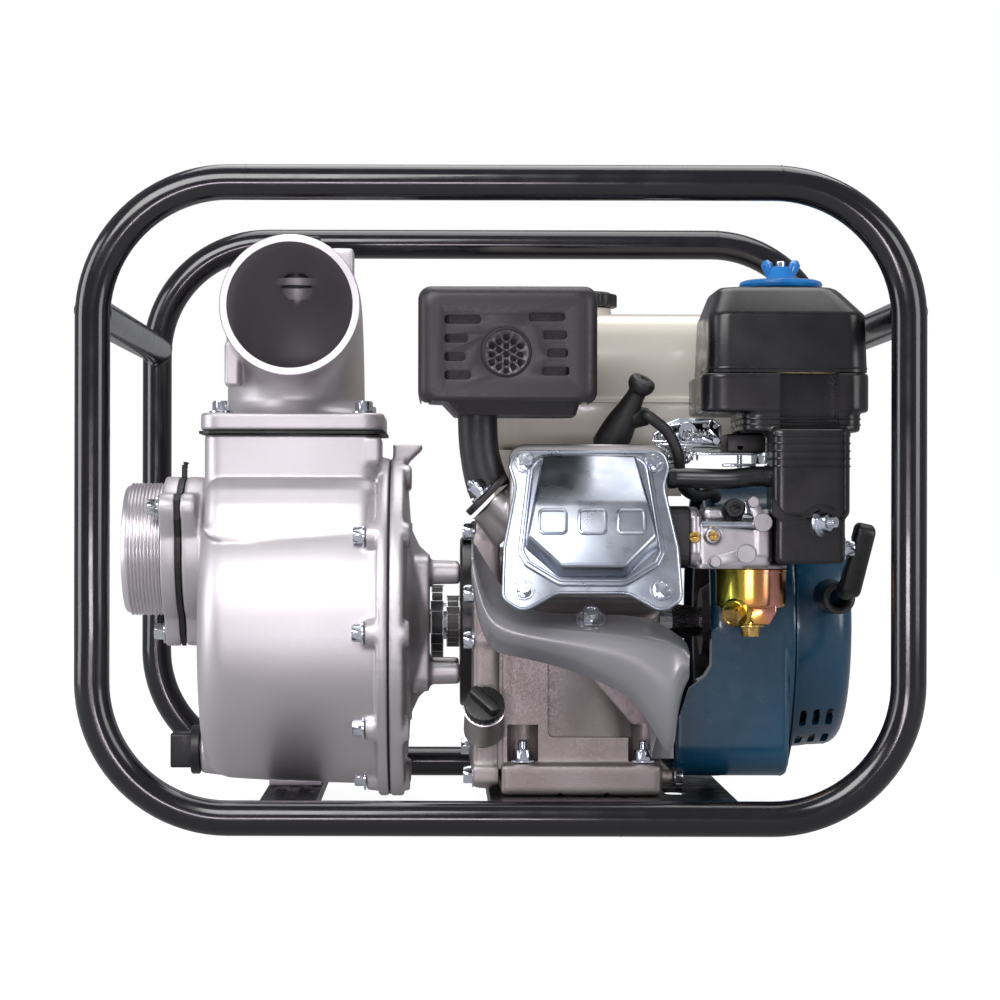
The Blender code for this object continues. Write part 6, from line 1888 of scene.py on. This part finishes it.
def make_recoil():
    start, end = 0.1904, 0.2279
    profile = [(start, 0.0), (start, 0.0822), (start + 0.0030, 0.0828), (0.2080, 0.0812)]
    profile += [
        (0.2155 + 0.0120 * math.sin(t), 0.0690 + 0.0120 * math.cos(t))
        for t in (0.2, 0.5, 0.8, 1.1, 1.4, 1.57)
    ]
    profile += [(end, 0.0560), (end, 0.0330), (end - 0.0025, 0.0300), (end - 0.0025, 0.0)]
    body = lathe("recoil_shell", profile, CRANK, X_AXIS, 128)
    room = [
        (start - 0.01, 0), (start - 0.01, 0.0800), (0.2080, 0.0790), (0.2175, 0.0720), (0.2250, 0.0600),
        (end - 0.0048, 0.0560), (end - 0.0048, 0)
    ]
    cuts = [lathe("recoil_room", room, CRANK, X_AXIS, 64)]
    for index in range(7):
        turn = math.radians(227 + 20 * index)
        out = Vector((0, math.cos(turn), math.sin(turn)))
        for x in (0.1985, 0.2070, 0.2155):
            spot = Vector((x, CRANK.y, CRANK.z)) + out * 0.0740
            cut_place = frame_along(spot, out, X_AXIS)
            slot = rounded(rectangle(-0.0022, 0.0022, -0.0082, 0.0082), 0.0020, 4)
            cuts.append(prism("vent", slot, cut_place, -0.012, 0.02))
    carve(body, cuts)
    body.data.shade_smooth()
    body.data.set_sharp_from_angle(angle=math.radians(40))
    nozzle = rod("nozzle", (0.2125, -0.0480, 0.1380), (0.2125, -0.0955, 0.1380), 0.0110, 0.0100, 40)
    carve(nozzle, [rod("nozzle_bore", (0.2125, -0.02, 0.1380), (0.2125, -0.11, 0.1380), 0.0060, edge=0)])
    post = rod("post", (0.1920, CRANK.y, CRANK.z), (end - 0.003, CRANK.y, CRANK.z), 0.0074)
    show(merged("recoil_surface", [body, post]), "fan_blue", "chassis", ["recoil_housing"])
    show(nozzle, "black_plastic", "chassis")
    places = [
        dict(place=(end - 0.0025, CRANK.y, CRANK.z), direction=X_AXIS, across_flats=0.0040, height=0.0020)
    ]
    bolts("centre_screw", places)


def make_grip():
    low = Vector((0.2160, -0.1080, 0.1395))
    high = Vector((0.2255, -0.1195, 0.1845))
    middle = (low + high) / 2
    run = (high - low).normalized()
    place = frame_along(middle, X_AXIS.cross(run).cross(run) * -1, run)
    outline = rounded(rectangle(-0.0230, 0.0230, -0.0072, 0.0072), 0.0055, 6)
    bar = prism("grip_bar", outline, place, -0.0062, 0.0062, 0.0030, 5)
    notch = rounded(rectangle(-0.0060, 0.0120, -0.0120, -0.0012), 0.0020, 4)
    carve(bar, [prism("grip_notch", notch, place, -0.02, 0.02)])
    neck = rod("grip_neck", Vector((0.2140, -0.1000, 0.1405)), middle - run * 0.008, 0.0052, 0.0060, 24)
    made = [coat(bar, "black_plastic"), coat(neck, "black_plastic")]
    made.append(
        coat(
            rod(
                "grip_pin", middle + Vector((-0.0066, -0.0010, 0.0030)),
                middle + Vector((0.0030, -0.0010, 0.0030)), 0.0030
            ),
            "bright_zinc"
        )
    )
    show(merged("grip_surface", made), None, "grip", ["starter_grip"])


def make_rest():
    for node in ("starter_pulley", "filter_element", "spark_plug", "impeller", "flywheel"):
        softened(node, 0.0004)


make_camera()
make_studio()
make_floor()
paint = make_materials()
make_cage()
make_casing()
make_back_cover()
make_suction()
make_drain_plug()
make_elbow()
make_priming_plug()
make_shaft_parts()
make_crankcase()
make_side_cover()
make_dipstick()
make_head()
make_valve_cover()
make_lower_shroud()
make_muffler()
make_exhaust_pipe()
make_tank()
make_air_cleaner()
make_cleaner_base()
make_wing_nut()
make_carburettor()
make_float_bowl()
make_lever(
    "choke_lever", "choke", "carb_casting", (0.1600, -0.1345, 0.1850), (-0.5, 0, 1), 0.0138
)
make_lever(
    "fuel_valve_lever", "fuel_valve", "carb_casting", (0.1500, -0.1345, 0.1660),
    (-1, 0, -0.25), 0.0198
)
make_lever(
    "throttle_lever", "throttle", "bright_zinc", (0.118, -0.0928, 0.2415), (0.9, 0, -0.3),
    0.019, 0.0016, 0.0032, 0.0008
)
make_cords()
make_plug_cap()
make_control()
make_fan_cover()
make_recoil()
make_grip()
make_rest()

# The paint of the slots whose paint has another name
slot_paint = {"gloss_black_tube": "gloss_black", "bright_steel": "steel", "blue_nut": "blue_plastic"}
for part in frame["record"]["subparts"]:
    slot = part["material_slot"]
    repaint(part["node"], slot_paint.get(slot, slot))
